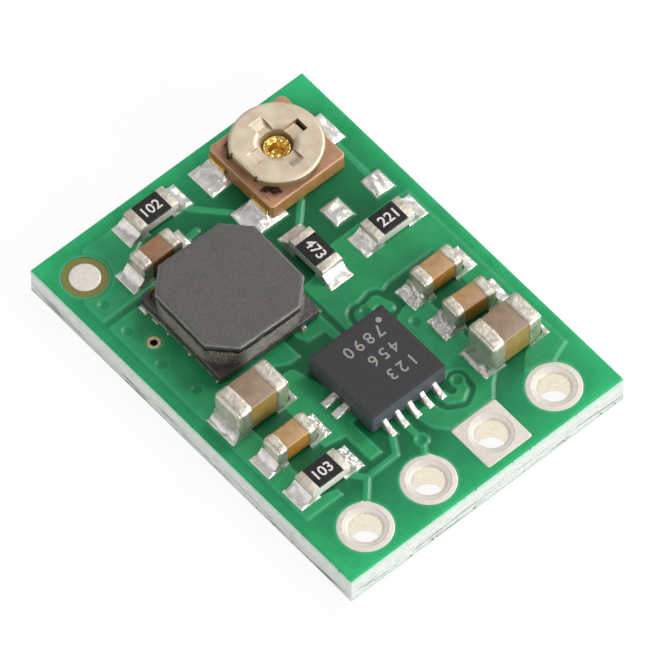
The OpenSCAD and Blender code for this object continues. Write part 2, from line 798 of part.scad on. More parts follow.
module chip_thermal_pad() {
    color("#cdb9a6") place(chip_at, seat_z) linear_extrude(lead_t) thermal_outline();
}

module chip_die() {
    color("#6e7480") place(chip_at, seat_z + lead_t) translate([0, 0, die_t / 2])
        cube([die_w, die_w, die_t], center = true);
}

module chip_solder() {
    color("#d8d8d6") {
        translate([0, 0, pad_z]) linear_extrude(film_t) converter_lands(0);
        place(chip_at, seat_z) {
            for (turn = [0, 180], i = [0 : leads_a_side - 1]) rotate(turn)
                translate([lead_x(i), -chip_w / 2, 0])
                    rotate(-90) fillet(chip_toes[turn / 180], lead_t, lead_w);
            for (turn = [0, 180], y = tie_places) rotate(turn)
                translate([-chip_w / 2, y, 0])
                    rotate(180) fillet(chip_toes[turn / 180], tie_fillet_h, tie_w);
        }
    }
}

// Outline of the wiper terminal's strip in its groove, from the axis to the +X side
module wiper_strip(reach) {
    translate([-wiper_terminal_w / 2, -wiper_terminal_w / 2])
        square([wiper_terminal_w / 2 + reach, wiper_terminal_w]);
}

// Foot and upright of an end terminal, in the length-height plane on the -X side
side_x = -trimmer_w / 2;
end_terminal_outline = [
    [side_x - strip_t, 0], [side_x + terminal_foot, 0], [side_x + terminal_foot, strip_t],
    [side_x, strip_t], [side_x, terminal_rise], [side_x - strip_t, terminal_rise]
];

module trimmer_end_terminals() {
    color("#c9a04a") place(trimmer_at, seat_z) for (side = [-1, 1])
        translate([0, side * end_terminal_pitch / 2, 0]) rotate([90, 0, 0])
            linear_extrude(end_terminal_w, center = true) polygon(end_terminal_outline);
}

module trimmer_wiper_terminal() {
    color("#c9a04a") place(trimmer_at, seat_z) {
        difference() {
            linear_extrude(strip_t) wiper_strip(trimmer_w / 2 + strip_t);
            translate([0, 0, -strip_t]) cylinder(r = rivet_r, h = 3 * strip_t);
        }
        translate([trimmer_w / 2, -wiper_terminal_w / 2, strip_t])
            cube([strip_t, wiper_terminal_w, terminal_rise - strip_t]);
    }
}

module trimmer_base() {
    color("#b0774f") place(trimmer_at, seat_z) difference() {
        linear_extrude(trimmer_base_h) polygon(cut_rectangle(trimmer_w, trimmer_l, trimmer_corner));
        linear_extrude(2 * strip_t, center = true) {
            wiper_strip(trimmer_w / 2);
            for (side = [-1, 1])
                translate([side_x, (side * end_terminal_pitch - end_terminal_w) / 2])
                    square([terminal_foot, end_terminal_w]);
        }
        translate([0, 0, -trimmer_base_h]) cylinder(r = rivet_r, h = 3 * trimmer_base_h);
    }
}

// A horseshoe that is open towards the end terminals, with a pad at each end
module trimmer_track() {
    color("#2a211d") place(trimmer_at, seat_z + trimmer_base_h) linear_extrude(track_t) {
        difference() {
            circle(track_out_r);
            circle(track_in_r);
            translate([-2 * track_out_r, -track_gap / 2]) square([2 * track_out_r, track_gap]);
        }
        for (side = [-1, 1]) translate([-track_end_x, side * track_end_y])
            square(track_end_w, center = true);
    }
}

// A hollow rivet that holds the rotor down and joins it to the wiper terminal
module trimmer_rivet() {
    color("#c9a03c") place(trimmer_at, seat_z) difference() {
        union() {
            cylinder(r = rivet_r, h = head_z + rivet_head_t);
            translate([0, 0, head_z]) cylinder(r = rivet_head_r, h = rivet_head_t);
        }
        translate([0, 0, -head_z]) cylinder(r = rivet_bore_r, h = 3 * head_z);
    }
}

// A pressed disc with a well that turns on the rivet
module trimmer_rotor() {
    bore_r = rivet_r + rivet_clearance;
    outer_r = well_r + well_t;
    top_z = disc_z + rotor_t;
    half = [
        [bore_r, floor_z], [outer_r, floor_z], [outer_r, disc_z], [rotor_r, disc_z],
        [rotor_r, top_z - rotor_edge], [rotor_r - rotor_edge, top_z], [well_r, top_z],
        [well_r, floor_z + well_t], [bore_r, floor_z + well_t]
    ];
    color("#cdbda8") place(trimmer_at, seat_z) difference() {
        rotate_extrude() polygon(half);
        translate([-rotor_flat - rotor_r, -rotor_r, 0]) cube([rotor_r, 2 * rotor_r, 2 * top_z]);
        for (turn = [0, 90]) rotate(turn) translate([-slot_reach, -slot_w / 2, top_z - slot_depth])
            cube([2 * slot_reach, slot_w, 2 * slot_depth]);
        translate([slot_reach - window_l, -slot_w / 2, disc_z - rotor_t])
            cube([window_l, slot_w, 3 * rotor_t]);
    }
}

// A leaf under the disc that carries the contact button over the track
module trimmer_wiper() {
    leaf_r = (track_in_r + track_out_r) / 2;
    button_z = trimmer_base_h + track_t + contact_clearance;
    color("#d8c27a") place(trimmer_at, seat_z) {
        translate([leaf_r, 0, button_z]) cylinder(r = contact_r, h = disc_z - leaf_t - button_z);
        translate([0, 0, disc_z - leaf_t]) linear_extrude(leaf_t) intersection() {
            difference() {
                circle(track_out_r);
                circle(track_in_r);
            }
            translate([0, -leaf_w / 2]) square([2 * track_out_r, leaf_w]);
        }
    }
}

// Solder of the trimmer: a film on each pad and a fillet on each upright
module trimmer_solder() {
    end_fillet = end_toe - strip_t;
    wiper_fillet = wiper_toe - strip_t;
    color("#d8d8d6") {
        translate([0, 0, pad_z]) linear_extrude(film_t) trimmer_lands(0);
        place(trimmer_at, seat_z) {
            for (side = [-1, 1])
                translate([side_x - strip_t, side * end_terminal_pitch / 2, 0])
                    rotate(180) fillet(end_fillet, trimmer_fillet_h, end_terminal_w);
            translate([trimmer_w / 2 + strip_t, 0, 0])
                fillet(wiper_fillet, trimmer_fillet_h, wiper_terminal_w);
        }
    }
}

substrate();
copper_foil_top();
copper_foil_bottom();
solder_mask_top();
solder_mask_bottom();
for (i = [0 : pin_count - 1]) {
    plated_hole(i);
}
via_plating();
fiducial_disc();
spare_pad_solder();
for (i = [0 : len(resistors_at) - 1]) {
    resistor_body(i);
    resistor_terminals(i);
    resistor_overcoat(i);
}
resistor_solder();
for (i = [0 : len(small_caps_at) - 1]) {
    small_capacitor_body(i);
    small_capacitor_terminals(i);
}
for (i = [0 : len(large_caps_at) - 1]) {
    large_capacitor_body(i);
    large_capacitor_terminals(i);
}
capacitor_solder();
inductor_base();
inductor_core();
inductor_ring();
inductor_winding();
inductor_adhesive();
inductor_terminals();
inductor_solder();
chip_body();
chip_leads();
chip_thermal_pad();
chip_die();
chip_solder();
trimmer_base();
trimmer_track();
trimmer_rivet();
trimmer_wiper_terminal();
trimmer_end_terminals();
trimmer_solder();
trimmer_rotor();
trimmer_wiper();
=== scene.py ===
import json
import math

import bmesh
import bpy
import numpy as np
from mathutils import Matrix, Vector


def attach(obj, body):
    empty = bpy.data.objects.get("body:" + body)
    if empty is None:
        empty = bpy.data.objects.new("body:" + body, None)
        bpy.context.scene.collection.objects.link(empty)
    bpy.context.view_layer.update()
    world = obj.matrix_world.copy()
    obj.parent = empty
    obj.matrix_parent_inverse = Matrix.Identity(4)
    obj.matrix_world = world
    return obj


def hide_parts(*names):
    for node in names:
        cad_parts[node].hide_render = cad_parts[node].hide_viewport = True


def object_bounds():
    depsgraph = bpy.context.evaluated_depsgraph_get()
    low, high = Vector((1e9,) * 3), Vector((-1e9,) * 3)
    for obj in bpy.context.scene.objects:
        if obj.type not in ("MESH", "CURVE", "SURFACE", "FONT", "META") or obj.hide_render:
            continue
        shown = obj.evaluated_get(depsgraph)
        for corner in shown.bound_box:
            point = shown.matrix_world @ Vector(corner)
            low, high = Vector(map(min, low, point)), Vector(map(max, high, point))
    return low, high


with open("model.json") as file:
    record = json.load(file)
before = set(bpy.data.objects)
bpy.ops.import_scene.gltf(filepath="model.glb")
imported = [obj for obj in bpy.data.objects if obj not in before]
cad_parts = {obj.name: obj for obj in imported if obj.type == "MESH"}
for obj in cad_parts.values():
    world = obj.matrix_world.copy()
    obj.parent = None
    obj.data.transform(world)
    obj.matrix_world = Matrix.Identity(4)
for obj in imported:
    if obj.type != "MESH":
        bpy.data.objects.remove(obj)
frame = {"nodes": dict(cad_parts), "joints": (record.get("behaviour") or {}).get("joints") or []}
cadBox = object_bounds()
mm = 0.001
print("frame loaded:", len(frame["nodes"]), "solids")


# Small tools: colours, shader nodes, numbers

def linearColor(hexCode):
    # sRGB to linear: straight near black, a 2.4 power above
    srgb = np.array([int(hexCode[i:i + 2], 16) / 255 for i in (1, 3, 5)])
    linear = np.where(srgb <= 0.04045, srgb / 12.92, ((srgb + 0.055) / 1.055) ** 2.4)
    return (*linear.tolist(), 1.0)


def fillInputs(tree, node, inputs):
    # links or sets a node's inputs, given by name or number, or as a list in the node's own order
    for key, value in inputs.items() if isinstance(inputs, dict) else enumerate(inputs):
        if isinstance(value, bpy.types.NodeSocket):
            tree.links.new(value, node.inputs[key])
        else:
            node.inputs[key].default_value = linearColor(value) if isinstance(value, str) else value


def addNode(tree, kind, inputs=(), out=0, **settings):
    # adds a node with its settings and links, and gives one of its outputs
    node = tree.nodes.new("ShaderNode" + kind)
    for key, value in settings.items():
        setattr(node, key, value)
    fillInputs(tree, node, inputs)
    return node.outputs[out]


def perMm(size):
    # noise scale, in metres of Object coordinates, for a grain of this many millimetres
    return 1 / (size * mm)


def ease(t):
    # 0 to 1 with flat ends: t squared times three minus two t
    t = np.clip(t, 0, 1)
    return t * t * (3 - 2 * t)


def roundOff(away, reach):
    # 0 from reach on and 1 at the edge, along a quarter circle
    return 1 - np.sqrt(1 - np.clip(1 - away / reach, 0, 1) ** 2)


def ripple(x, y, size, seed):
    # unevenness from about -1 to 1: twice the mean of eight sine waves, each about size long,
    # with their own heading and phase
    rng = np.random.default_rng(seed)
    heading, phase = rng.uniform(0, 2 * np.pi, (2, 8))
    pace = 2 * np.pi / (size * rng.uniform(0.7, 1.4, 8))
    along = np.asarray(x)[..., None] * np.cos(heading) + np.asarray(y)[..., None] * np.sin(heading)
    return 2 * np.sin(along * pace + phase).mean(-1)


# Reading the solids

def meshArrays(mesh):
    # corners of a mesh and its triangles
    mesh.calc_loop_triangles()
    points = np.empty(len(mesh.vertices) * 3, np.float32)
    mesh.vertices.foreach_get("co", points)
    triangles = np.empty(len(mesh.loop_triangles) * 3, np.int32)
    mesh.loop_triangles.foreach_get("vertices", triangles)
    return points.reshape(-1, 3).astype(float), triangles.reshape(-1, 3)


def solidArrays(name):
    # corners of a solid, in millimetres, and its triangles
    points, triangles = meshArrays(frame["nodes"][name].data)
    return points / mm, triangles


def nodePoints(name):
    # corners of a solid alone
    return solidArrays(name)[0]


def spanOf(values):
    return values.min(), values.max()


def seatOf(what):
    # place of a solid or a set of points: the turn at which the box around it is smallest, and that box,
    # long side first
    points = nodePoints(what) if isinstance(what, str) else what
    turns = np.radians(np.arange(-45, 45, 0.5))
    along = points[:, :2] @ np.array([np.cos(turns), np.sin(turns)])
    across = points[:, :2] @ np.array([-np.sin(turns), np.cos(turns)])
    area = np.round(np.ptp(along, 0) * np.ptp(across, 0), 4) + np.abs(turns) * 1e-6
    best = np.argmin(area)
    turn, spans = turns[best], [spanOf(along[:, best]), spanOf(across[:, best])]
    u, v = (sum(s) / 2 for s in spans)
    sizes = [s[1] - s[0] for s in spans]
    c, s = math.cos(turn), math.sin(turn)
    if sizes[1] > sizes[0] + 0.005:
        turn, sizes = turn + math.pi / 2, sizes[::-1]
    low, high = spanOf(points[:, 2])
    return {"middle": np.array([u * c - v * s, u * s + v * c]), "turn": turn,
            "length": sizes[0], "width": sizes[1], "low": low, "high": high}


def loosePieces(name):
    # point sets of a node's separate solids: each point takes the lowest number that its edges reach
    points, triangles = solidArrays(name)
    spots, index = np.unique(np.round(points, 4), axis=0, return_inverse=True)
    corners = index.reshape(-1)[triangles]
    label, last = np.arange(len(spots)), None
    while last is None or (label != last).any():
        last = label.copy()
        low = label[corners].min(1)
        for k in range(3):
            np.minimum.at(label, corners[:, k], low)
    return [spots[label == k] for k in np.unique(label)]


def topOutline(name):
    # border lines of a solid's top face: edges that only one triangle of that face has
    points, triangles = solidArrays(name)
    flat = (np.abs(points[triangles][:, :, 2] - points[:, 2].max()) < 1e-3).all(1)
    spots, index = np.unique(np.round(points[:, :2], 4), axis=0, return_inverse=True)
    corners = index.reshape(-1)[triangles[flat]]
    edges = np.sort(corners[:, [0, 1, 1, 2, 2, 0]].reshape(-1, 2), axis=1)
    lines, uses = np.unique(edges, axis=0, return_counts=True)
    return spots[lines[uses == 1]]


def toLocal(points, seat):
    # board place to a piece's own x along and y across
    x, y = np.moveaxis(points[..., :2] - seat["middle"], -1, 0)
    c, s = math.cos(seat["turn"]), math.sin(seat["turn"])
    return np.stack([x * c + y * s, y * c - x * s], -1)


def toBoard(points, seat):
    # a piece's own x, y and height to its place on the board
    x, y, z = np.moveaxis(points, -1, 0)
    c, s = math.cos(seat["turn"]), math.sin(seat["turn"])
    return np.stack([x * c - y * s + seat["middle"][0], x * s + y * c + seat["middle"][1], z], -1)


# Surfaces on grids

def gridQuads(rows, cols, closeRows=False, closeCols=False):
    # four-cornered faces between neighbouring grid points; a closed direction joins its end to its start
    r = np.arange(rows if closeRows else rows - 1)[:, None]
    c = np.arange(cols if closeCols else cols - 1)[None, :]
    nextC, nextR = (c + 1) % cols, (r + 1) % rows
    corners = [r * cols + c, r * cols + nextC, nextR * cols + nextC, nextR * cols + c]
    return np.stack(corners, -1).reshape(-1, 4)


def gridSheet(points, closeRows=False, closeCols=True):
    return points.reshape(-1, 3), gridQuads(*points.shape[:2], closeRows, closeCols)


def joined(*sheets):
    # several sheets as one, with the face numbers moved on
    starts = np.cumsum([0] + [len(p) for p, _ in sheets[:-1]])
    return np.vstack([p for p, _ in sheets]), np.vstack([f + s for (_, f), s in zip(sheets, starts)])


def openEdges(faces):
    # edges that one face has, in that face's direction
    edges = faces[:, [0, 1, 1, 2, 2, 3, 3, 0]].reshape(-1, 2)
    _, first, uses = np.unique(np.sort(edges, 1), axis=0, return_index=True, return_counts=True)
    return edges[first[uses == 1]]


def hungWalls(points, faces, low):
    # walls from each open edge of a sheet straight down to a height, and the points they hang from
    rim = openEdges(faces)
    used, back = np.unique(rim, return_inverse=True)
    foot = points[used] * [1, 1, 0] + [0, 0, low]
    back = back.reshape(-1, 2) + len(points)
    walls = np.stack([rim[:, 1], rim[:, 0], back[:, 0], back[:, 1]], 1)
    return (np.vstack([points, foot]), np.vstack([faces, walls])), used


def closedSheet(points, faces, low):
    # a sheet, its flat shadow at a height and the walls between them: a closed solid
    rim, count = openEdges(faces), len(points)
    foot = points * [1, 1, 0] + [0, 0, low]
    walls = np.stack([rim[:, 1], rim[:, 0], rim[:, 0] + count, rim[:, 1] + count], 1)
    return np.vstack([points, foot]), np.vstack([faces, faces[:, ::-1] + count, walls])


def roundedWalk(corners, radius, arcSteps=5, sideSteps=1):
    # walk round a convex outline with round corners: for each point the centre of its arc and its outward
    # direction, so a ring at inset d is centre plus (radius - d) times direction
    corners = np.asarray(corners, float)
    edge = np.roll(corners, -1, 0) - corners
    heading = np.arctan2(-edge[:, 0], edge[:, 1])
    start = np.roll(heading, 1)
    bend = (heading - start) % (2 * np.pi)
    bisector = start + bend / 2
    inward = np.stack([np.cos(bisector), np.sin(bisector)], 1) * (radius / np.cos(bend / 2))[:, None]
    centres = (corners - inward)[:, None]
    angles = start[:, None] + bend[:, None] * np.linspace(0, 1, arcSteps + 1)
    share = np.linspace(0, 1, sideSteps + 1)[1:-1, None]
    sides = centres * (1 - share) + np.roll(centres, -1, 0) * share
    points = np.concatenate([np.repeat(centres, arcSteps + 1, 1), sides], 1).reshape(-1, 2)
    angles = np.concatenate([angles, np.repeat(angles[:, -1:], len(share), 1)], 1).ravel()
    return points, np.stack([np.cos(angles), np.sin(angles)], 1)


def boxCorners(length, width):
    a, b = length / 2, width / 2
    return [(a, -b), (a, b), (-a, b), (-a, -b)]


def cutCorners(length, width, cut):
    a, b = length / 2, width / 2
    return [(a, cut - b), (a, b - cut), (a - cut, b), (cut - a, b),
            (-a, b - cut), (-a, cut - b), (cut - a, -b), (a - cut, -b)]


def withHeight(flat, height):
    # flat points with a height that is the same for all, or for each row
    return np.concatenate([flat, np.broadcast_to(height, flat.shape[:-1])[..., None]], -1)


def stackedRings(corners, radius, rings, arcSteps=5, sideSteps=1):
    # a profile carried round an outline: each ring is (height, inset, share of the way out from the middle)
    centres, out = roundedWalk(corners, radius, arcSteps, sideSteps)
    height, inset, share = (np.array(v, float)[:, None] for v in zip(*rings))
    return withHeight((centres[None] + (radius - inset)[..., None] * out[None]) * share[..., None], height)


def quarterRound(height, radius, rise, steps=5):
    # rings of a quarter-round edge that ends at this height; rise is 1 towards the top, -1 towards the bottom
    angles = np.linspace(0, np.pi / 2, steps)[::rise]
    return [(height - rise * radius * (1 - math.sin(a)), radius * (1 - math.cos(a)), 1) for a in angles]


def turnedRings(profile, count):
    # a profile of (radius, height) points turned round the Z axis
    angle = np.linspace(0, 2 * np.pi, count, endpoint=False)
    radius, height = np.asarray(profile, float).T[:, :, None]
    return withHeight(np.stack([radius * np.cos(angle), radius * np.sin(angle)], -1), height)


def runOf(path):
    # direction of a path at each of its points
    run = np.gradient(path, axis=0)
    return run / np.linalg.norm(run, axis=1)[:, None]


def bentStrip(path, width, thick, radius):
    # a rounded rectangle carried along a bent path in the X-Z plane, with its ends closed to a point
    run = runOf(path)
    centres, out = roundedWalk(boxCorners(width, thick), radius, 3)
    share = np.pad(np.ones(len(path)), 1)
    line, normal = (np.pad(v, ((1, 1), (0, 0)), "edge")[:, None] for v in (path, run[:, ::-1] * [-1, 1]))
    across = (centres + radius * out)[None] * share[:, None, None]
    flat = line + normal * across[..., 1:]
    return gridSheet(np.stack([flat[..., 0], across[..., 0], flat[..., 1]], -1))


def roundedPath(corners, radius, steps=6):
    # straight runs joined by arcs: each inner corner is swapped for a curve that starts and ends radius away
    corners = [np.array(c, float) for c in corners]
    points = [corners[0][None]]
    for before, at, after in zip(corners, corners[1:], corners[2:]):
        into = at + radius * (before - at) / np.linalg.norm(before - at)
        away = at + radius * (after - at) / np.linalg.norm(after - at)
        t = np.linspace(0, 1, steps)[:, None]
        points.append((1 - t) ** 2 * into + 2 * t * (1 - t) * at + t ** 2 * away)
    return np.vstack(points + [corners[-1][None]])


def tube(path, radius, sides=10):
    # a circle carried along a path in space, closed to a point at both ends
    run = runOf(path)
    side = np.cross(run, [0.0, 0.0, 1.0])
    side /= np.linalg.norm(side, axis=1)[:, None] + 1e-9
    lift = np.cross(side, run)
    angle = np.linspace(0, 2 * np.pi, sides, endpoint=False)[None, :, None]
    ring = path[:, None] + radius * (np.cos(angle) * side[:, None] + np.sin(angle) * lift[:, None])
    ends = [np.repeat(path[k][None, None], sides, 1) for k in (0, -1)]
    return gridSheet(np.concatenate([ends[0], ring, ends[1]]))


def padHole(seat, margin):
    return {"x": seat["middle"][0], "y": seat["middle"][1], "length": seat["length"] + 2 * margin,
            "width": seat["width"] + 2 * margin, "turn": seat["turn"]}


def discHole(middle, radius):
    return {"x": middle[0], "y": middle[1], "radius": radius}


def awayFrom(outline, x, y):
    # signed distance from an outline, positive outside, and the direction in which it grows
    dx, dy = x - outline["x"], y - outline["y"]
    if "radius" in outline:
        reach = np.hypot(dx, dy) + 1e-12
        far, nx, ny = reach - outline["radius"], dx / reach, dy / reach
        if "flat" in outline:
            cut = -outline["flat"] - x
            beyond = cut > far
            far, nx, ny = (np.where(beyond, a, b) for a, b in ((cut, far), (-1.0, nx), (0.0, ny)))
        return far, nx, ny
    c, s = math.cos(outline["turn"]), math.sin(outline["turn"])
    u, v = dx * c + dy * s, dy * c - dx * s
    qu, qv = np.abs(u) - outline["length"] / 2, np.abs(v) - outline["width"] / 2
    reach = np.hypot(np.maximum(qu, 0), np.maximum(qv, 0))
    inside = reach == 0
    far = np.where(inside, np.maximum(qu, qv), reach)
    nu = np.where(inside, qu > qv, np.maximum(qu, 0) / (reach + 1e-12)) * np.sign(u)
    nv = np.where(inside, qu <= qv, np.maximum(qv, 0) / (reach + 1e-12)) * np.sign(v)
    return far, nu * c - nv * s, nu * s + nv * c


def snappedSheet(xs, ys, holes, border=None):
    # flat grid whose points near an outline move onto it, without the cells inside a hole or past the border
    y, x = (g.ravel() for g in np.meshgrid(ys, xs, indexing="ij"))
    faces = gridQuads(len(ys), len(xs))
    cell = max(xs[1] - xs[0], ys[1] - ys[0])
    outlines = holes + ([border] if border else [])
    for outline in outlines:
        far, nx, ny = awayFrom(outline, x, y)
        near = np.abs(far) <= 0.5 * cell + 1e-9
        x, y = np.where(near, x - far * nx, x), np.where(near, y - far * ny, y)
        if "length" in outline:
            c, s = math.cos(outline["turn"]), math.sin(outline["turn"])
            for u, v in boxCorners(outline["length"], outline["width"]):
                px, py = outline["x"] + u * c - v * s, outline["y"] + u * s + v * c
                k = np.argmin((x - px) ** 2 + (y - py) ** 2)
                x[k], y[k] = px, py
    keep = np.ones(len(faces), bool)
    for outline in outlines:
        side = -1 if outline is border else 1
        keep &= (side * awayFrom(outline, x, y)[0][faces] > 1e-6).any(1)
    used, back = np.unique(faces[keep], return_inverse=True)
    x, y = x[used], y[used]
    for outline in outlines:
        side = -1 if outline is border else 1
        far, nx, ny = awayFrom(outline, x, y)
        stray = side * far < -1e-6
        x, y = np.where(stray, x - far * nx, x), np.where(stray, y - far * ny, y)
    return x, y, back.reshape(-1, 4)


def signedDistance(lines, x, y):
    # distance to the nearest border line, positive where a ray towards +X crosses an odd number of lines
    best, odd = np.full(x.shape, np.inf), np.zeros(x.shape, bool)
    for (ax, ay), (bx, by) in lines:
        dx, dy = bx - ax, by - ay
        t = np.clip(((x - ax) * dx + (y - ay) * dy) / (dx * dx + dy * dy), 0, 1)
        best = np.minimum(best, (x - ax - t * dx) ** 2 + (y - ay - t * dy) ** 2)
        if dy:
            odd ^= ((ay > y) != (by > y)) & (x < ax + (y - ay) * dx / dy)
    return np.where(odd, 1, -1) * np.sqrt(best)


# Finishes; spans of a noise's middle, and of how squarely a face looks up: upright, on a bevel, nearly sheer
spans = {"noise": (0.3, 0.7), "upright": (0.75, 0.35), "bevel": (0.985, 0.9), "sheer": (0.2, 0.5)}


def newFinish(name, sockets):
    # a material with one shader; sockets holds the values that are the same all over
    material = bpy.data.materials.new(name)
    material.use_nodes = True
    tree = material.node_tree
    shader = tree.nodes["Principled BSDF"]
    fillInputs(tree, shader, sockets)
    return material, tree, shader, addNode(tree, "TexCoord", out="Object")


def facingAlong(tree, axis):
    # how squarely a face looks along an axis, from 0 to 1
    along = addNode(tree, "SeparateXYZ", [addNode(tree, "NewGeometry", out="Normal")], axis)
    return addNode(tree, "Math", [along], operation="ABSOLUTE")


def mottle(tree, shader, place, dark, light, grain, rough=None, relief=0, detail=3, contrast=0.25, sides=None,
           bevel=None, bevelRough=None):
    # colour between two hex values by a noise of this grain; the same noise can vary roughness and relief.
    # Upright faces and sloping bevels can have a colour of their own, for painted shade and painted
    # highlights
    grains = {"Vector": place, "Scale": perMm(grain), "Detail": detail, "Roughness": 0.6}
    noise = addNode(tree, "TexNoise", grains)
    spread = addNode(tree, "MapRange", [noise, 0.5 - contrast, 0.5 + contrast])
    colour = addNode(tree, "Mix", {0: spread, 6: dark, 7: light}, 2, data_type="RGBA")
    facing = facingAlong(tree, "Z") if sides or bevel else None
    if sides:
        tint = addNode(tree, "Mix", {0: spread, 6: sides[0], 7: sides[1]}, 2, data_type="RGBA")
        upright = addNode(tree, "MapRange", [facing, *spans["upright"]])
        colour = addNode(tree, "Mix", {0: upright, 6: colour, 7: tint}, 2, data_type="RGBA")
    if bevel:
        slope = addNode(tree, "MapRange", [facing, *spans["bevel"]])
        sheer = addNode(tree, "MapRange", [facing, *spans["sheer"]])
        slope = addNode(tree, "Math", [slope, sheer], operation="MULTIPLY")
        colour = addNode(tree, "Mix", {0: slope, 6: colour, 7: bevel}, 2, data_type="RGBA")
    sockets = {"Base Color": colour}
    if rough:
        sockets["Roughness"] = addNode(tree, "MapRange", [noise, *spans["noise"], *rough])
        if bevelRough:
            sockets["Roughness"] = addNode(tree, "Mix", {0: slope, 2: sockets["Roughness"], 3: bevelRough})
    if relief:
        sockets["Normal"] = addNode(tree, "Bump", {"Height": noise, "Strength": 1.0, "Distance": relief * mm})
    fillInputs(tree, shader, sockets)
    return colour


def grained(name, sockets, *look, **more):
    # a finish that needs only mottled colour, roughness and relief
    material, tree, shader, place = newFinish(name, sockets)
    mottle(tree, shader, place, *look, **more)
    return material


def maskFinish():
    # cured epoxy solder mask, screened and baked: a see-through satin green that looks lighter over copper
    # and darker over bare laminate, with a painted glow towards the cut edges that stands in for light coming
    # in through the laminate, and painted highlight lines along the copper edges and round the openings
    material, tree, shader, place = newFinish("solder_mask_epoxy", {"IOR": 1.5, "Specular IOR Level": 0.32})
    copper, rim, glow = (
        addNode(tree, "Attribute", out="Fac", attribute_name=key) for key in ("copper", "rim", "glow"))
    bare = addNode(tree, "Mix", {0: glow, 6: "#0a6139", 7: "#33c67d"}, 2, data_type="RGBA")
    over = addNode(tree, "Mix", {0: glow, 6: "#28935b", 7: "#32ad70"}, 2, data_type="RGBA")
    both = addNode(tree, "Mix", {0: copper, 6: bare, 7: over}, 2, data_type="RGBA")
    # painted highlight: a paler green along the copper edges and round the openings
    lit = addNode(tree, "Mix", {0: rim, 6: both, 7: "#4fba86"}, 2, data_type="RGBA")
    noise = addNode(tree, "TexNoise", {"Vector": place, "Scale": perMm(0.9), "Detail": 5, "Roughness": 0.65})
    level = addNode(tree, "MapRange", [noise, *spans["noise"], 0.86, 1.1])
    skin = addNode(tree, "TexNoise", {"Vector": place, "Scale": perMm(0.12), "Detail": 3})
    fillInputs(tree, shader, {
        "Base Color": addNode(tree, "VectorMath", {0: lit, "Scale": level}, operation="SCALE"),
        "Roughness": addNode(tree, "MapRange", [noise, *spans["noise"], 0.24, 0.36]),
        "Normal": addNode(tree, "Bump", {"Height": skin, "Strength": 0.5, "Distance": 0.003 * mm})})
    return material


def laminateFinish():
    # sawn glass-epoxy laminate: off-white with grey streaks of cut fibre along the edge, greenish under the
    # mask, darker streaks towards the bottom, and painted paler on the two sides that face along X, as
    # painted light
    material, tree, shader, place = newFinish("glass_epoxy_laminate", {"IOR": 1.5, "Roughness": 0.6})
    streak = addNode(tree, "Mapping", {"Vector": place, "Scale": (1, 1, 7)})
    noise = addNode(tree, "TexNoise", {"Vector": streak, "Scale": perMm(0.5), "Detail": 6, "Roughness": 0.7})
    spread = addNode(tree, "MapRange", [noise, 0.3, 0.47])
    colour = addNode(tree, "Mix", {0: spread, 6: "#bcc0b9", 7: "#e9efe9"}, 2, data_type="RGBA")
    height = addNode(tree, "SeparateXYZ", [place], "Z")
    nearMask = addNode(tree, "MapRange", [height, 0.86 * mm, 1.1 * mm], interpolation_type="SMOOTHSTEP")
    # darker streaks that grow towards the bottom of the edge
    long = addNode(tree, "Mapping", {"Vector": place, "Scale": (0.5, 0.5, 9)})
    lowStreak = addNode(tree, "TexNoise", {"Vector": long, "Scale": perMm(0.9), "Detail": 4})
    lowStreak = addNode(tree, "MapRange", [lowStreak, 0.53, 0.63])
    lowDown = addNode(tree, "MapRange", [height, 0.62 * mm, 0.3 * mm])
    lowStreak = addNode(tree, "Math", [lowStreak, lowDown], operation="MULTIPLY")
    topFace = addNode(tree, "MapRange", [height, 1.1 * mm, 1.104 * mm])
    for share, tint in ((nearMask, "#bfe6cf"), (lowStreak, "#827f77"), (topFace, "#83833f")):
        colour = addNode(tree, "Mix", {0: share, 6: colour, 7: tint}, 2, data_type="RGBA")
    # painted light: the sides that face along X are made paler
    level = addNode(tree, "MapRange", [facingAlong(tree, "X"), 0.4, 0.9, 0.91, 1.14])
    fillInputs(tree, shader, {
        "Base Color": addNode(tree, "VectorMath", {0: colour, "Scale": level}, operation="SCALE"),
        "Normal": addNode(tree, "Bump", {"Height": noise, "Strength": 1.0, "Distance": 0.03 * mm})})
    return material


def ferriteFinish(name, dark, light, edge, lighterTone, blotch=0.5, grit=0.006, sides=None, darkCorners=None,
                  specks=(0.4, 0.9)):
    # ground ferrite: matte dark grey with pale specks of grain about 0.05 mm across, bevels that can be
    # painted paler as a painted highlight, and round corners that can be coloured darker than the flat sides
    material, tree, shader, place = newFinish(name, {"IOR": 1.6})
    # bevels take the paler colour as a painted highlight; upright sides can take painted shade
    colour = mottle(tree, shader, place, dark, light, blotch, (0.5, 0.66), detail=5, sides=sides, bevel=lighterTone,
                    bevelRough=lighterTone and 0.36)
    # round corners coloured darker than the four flat sides
    if darkCorners:
        flat = addNode(tree, "Math", [facingAlong(tree, "X"), facingAlong(tree, "Y")], operation="MAXIMUM")
        share = addNode(tree, "MapRange", [flat, 0.995, 0.93])
        colour = addNode(tree, "Mix", {0: share, 6: colour, 7: darkCorners}, 2, data_type="RGBA")
    speck = addNode(tree, "TexNoise", {"Vector": place, "Scale": perMm(0.055), "Detail": 2})
    spread = addNode(tree, "MapRange", [speck, *specks])
    fillInputs(tree, shader, {
        "Base Color": addNode(tree, "Mix", {0: spread, 6: colour, 7: edge}, 2, data_type="RGBA"),
        "Normal": addNode(tree, "Bump", {"Height": speck, "Strength": 0.8, "Distance": grit * mm})})
    return material


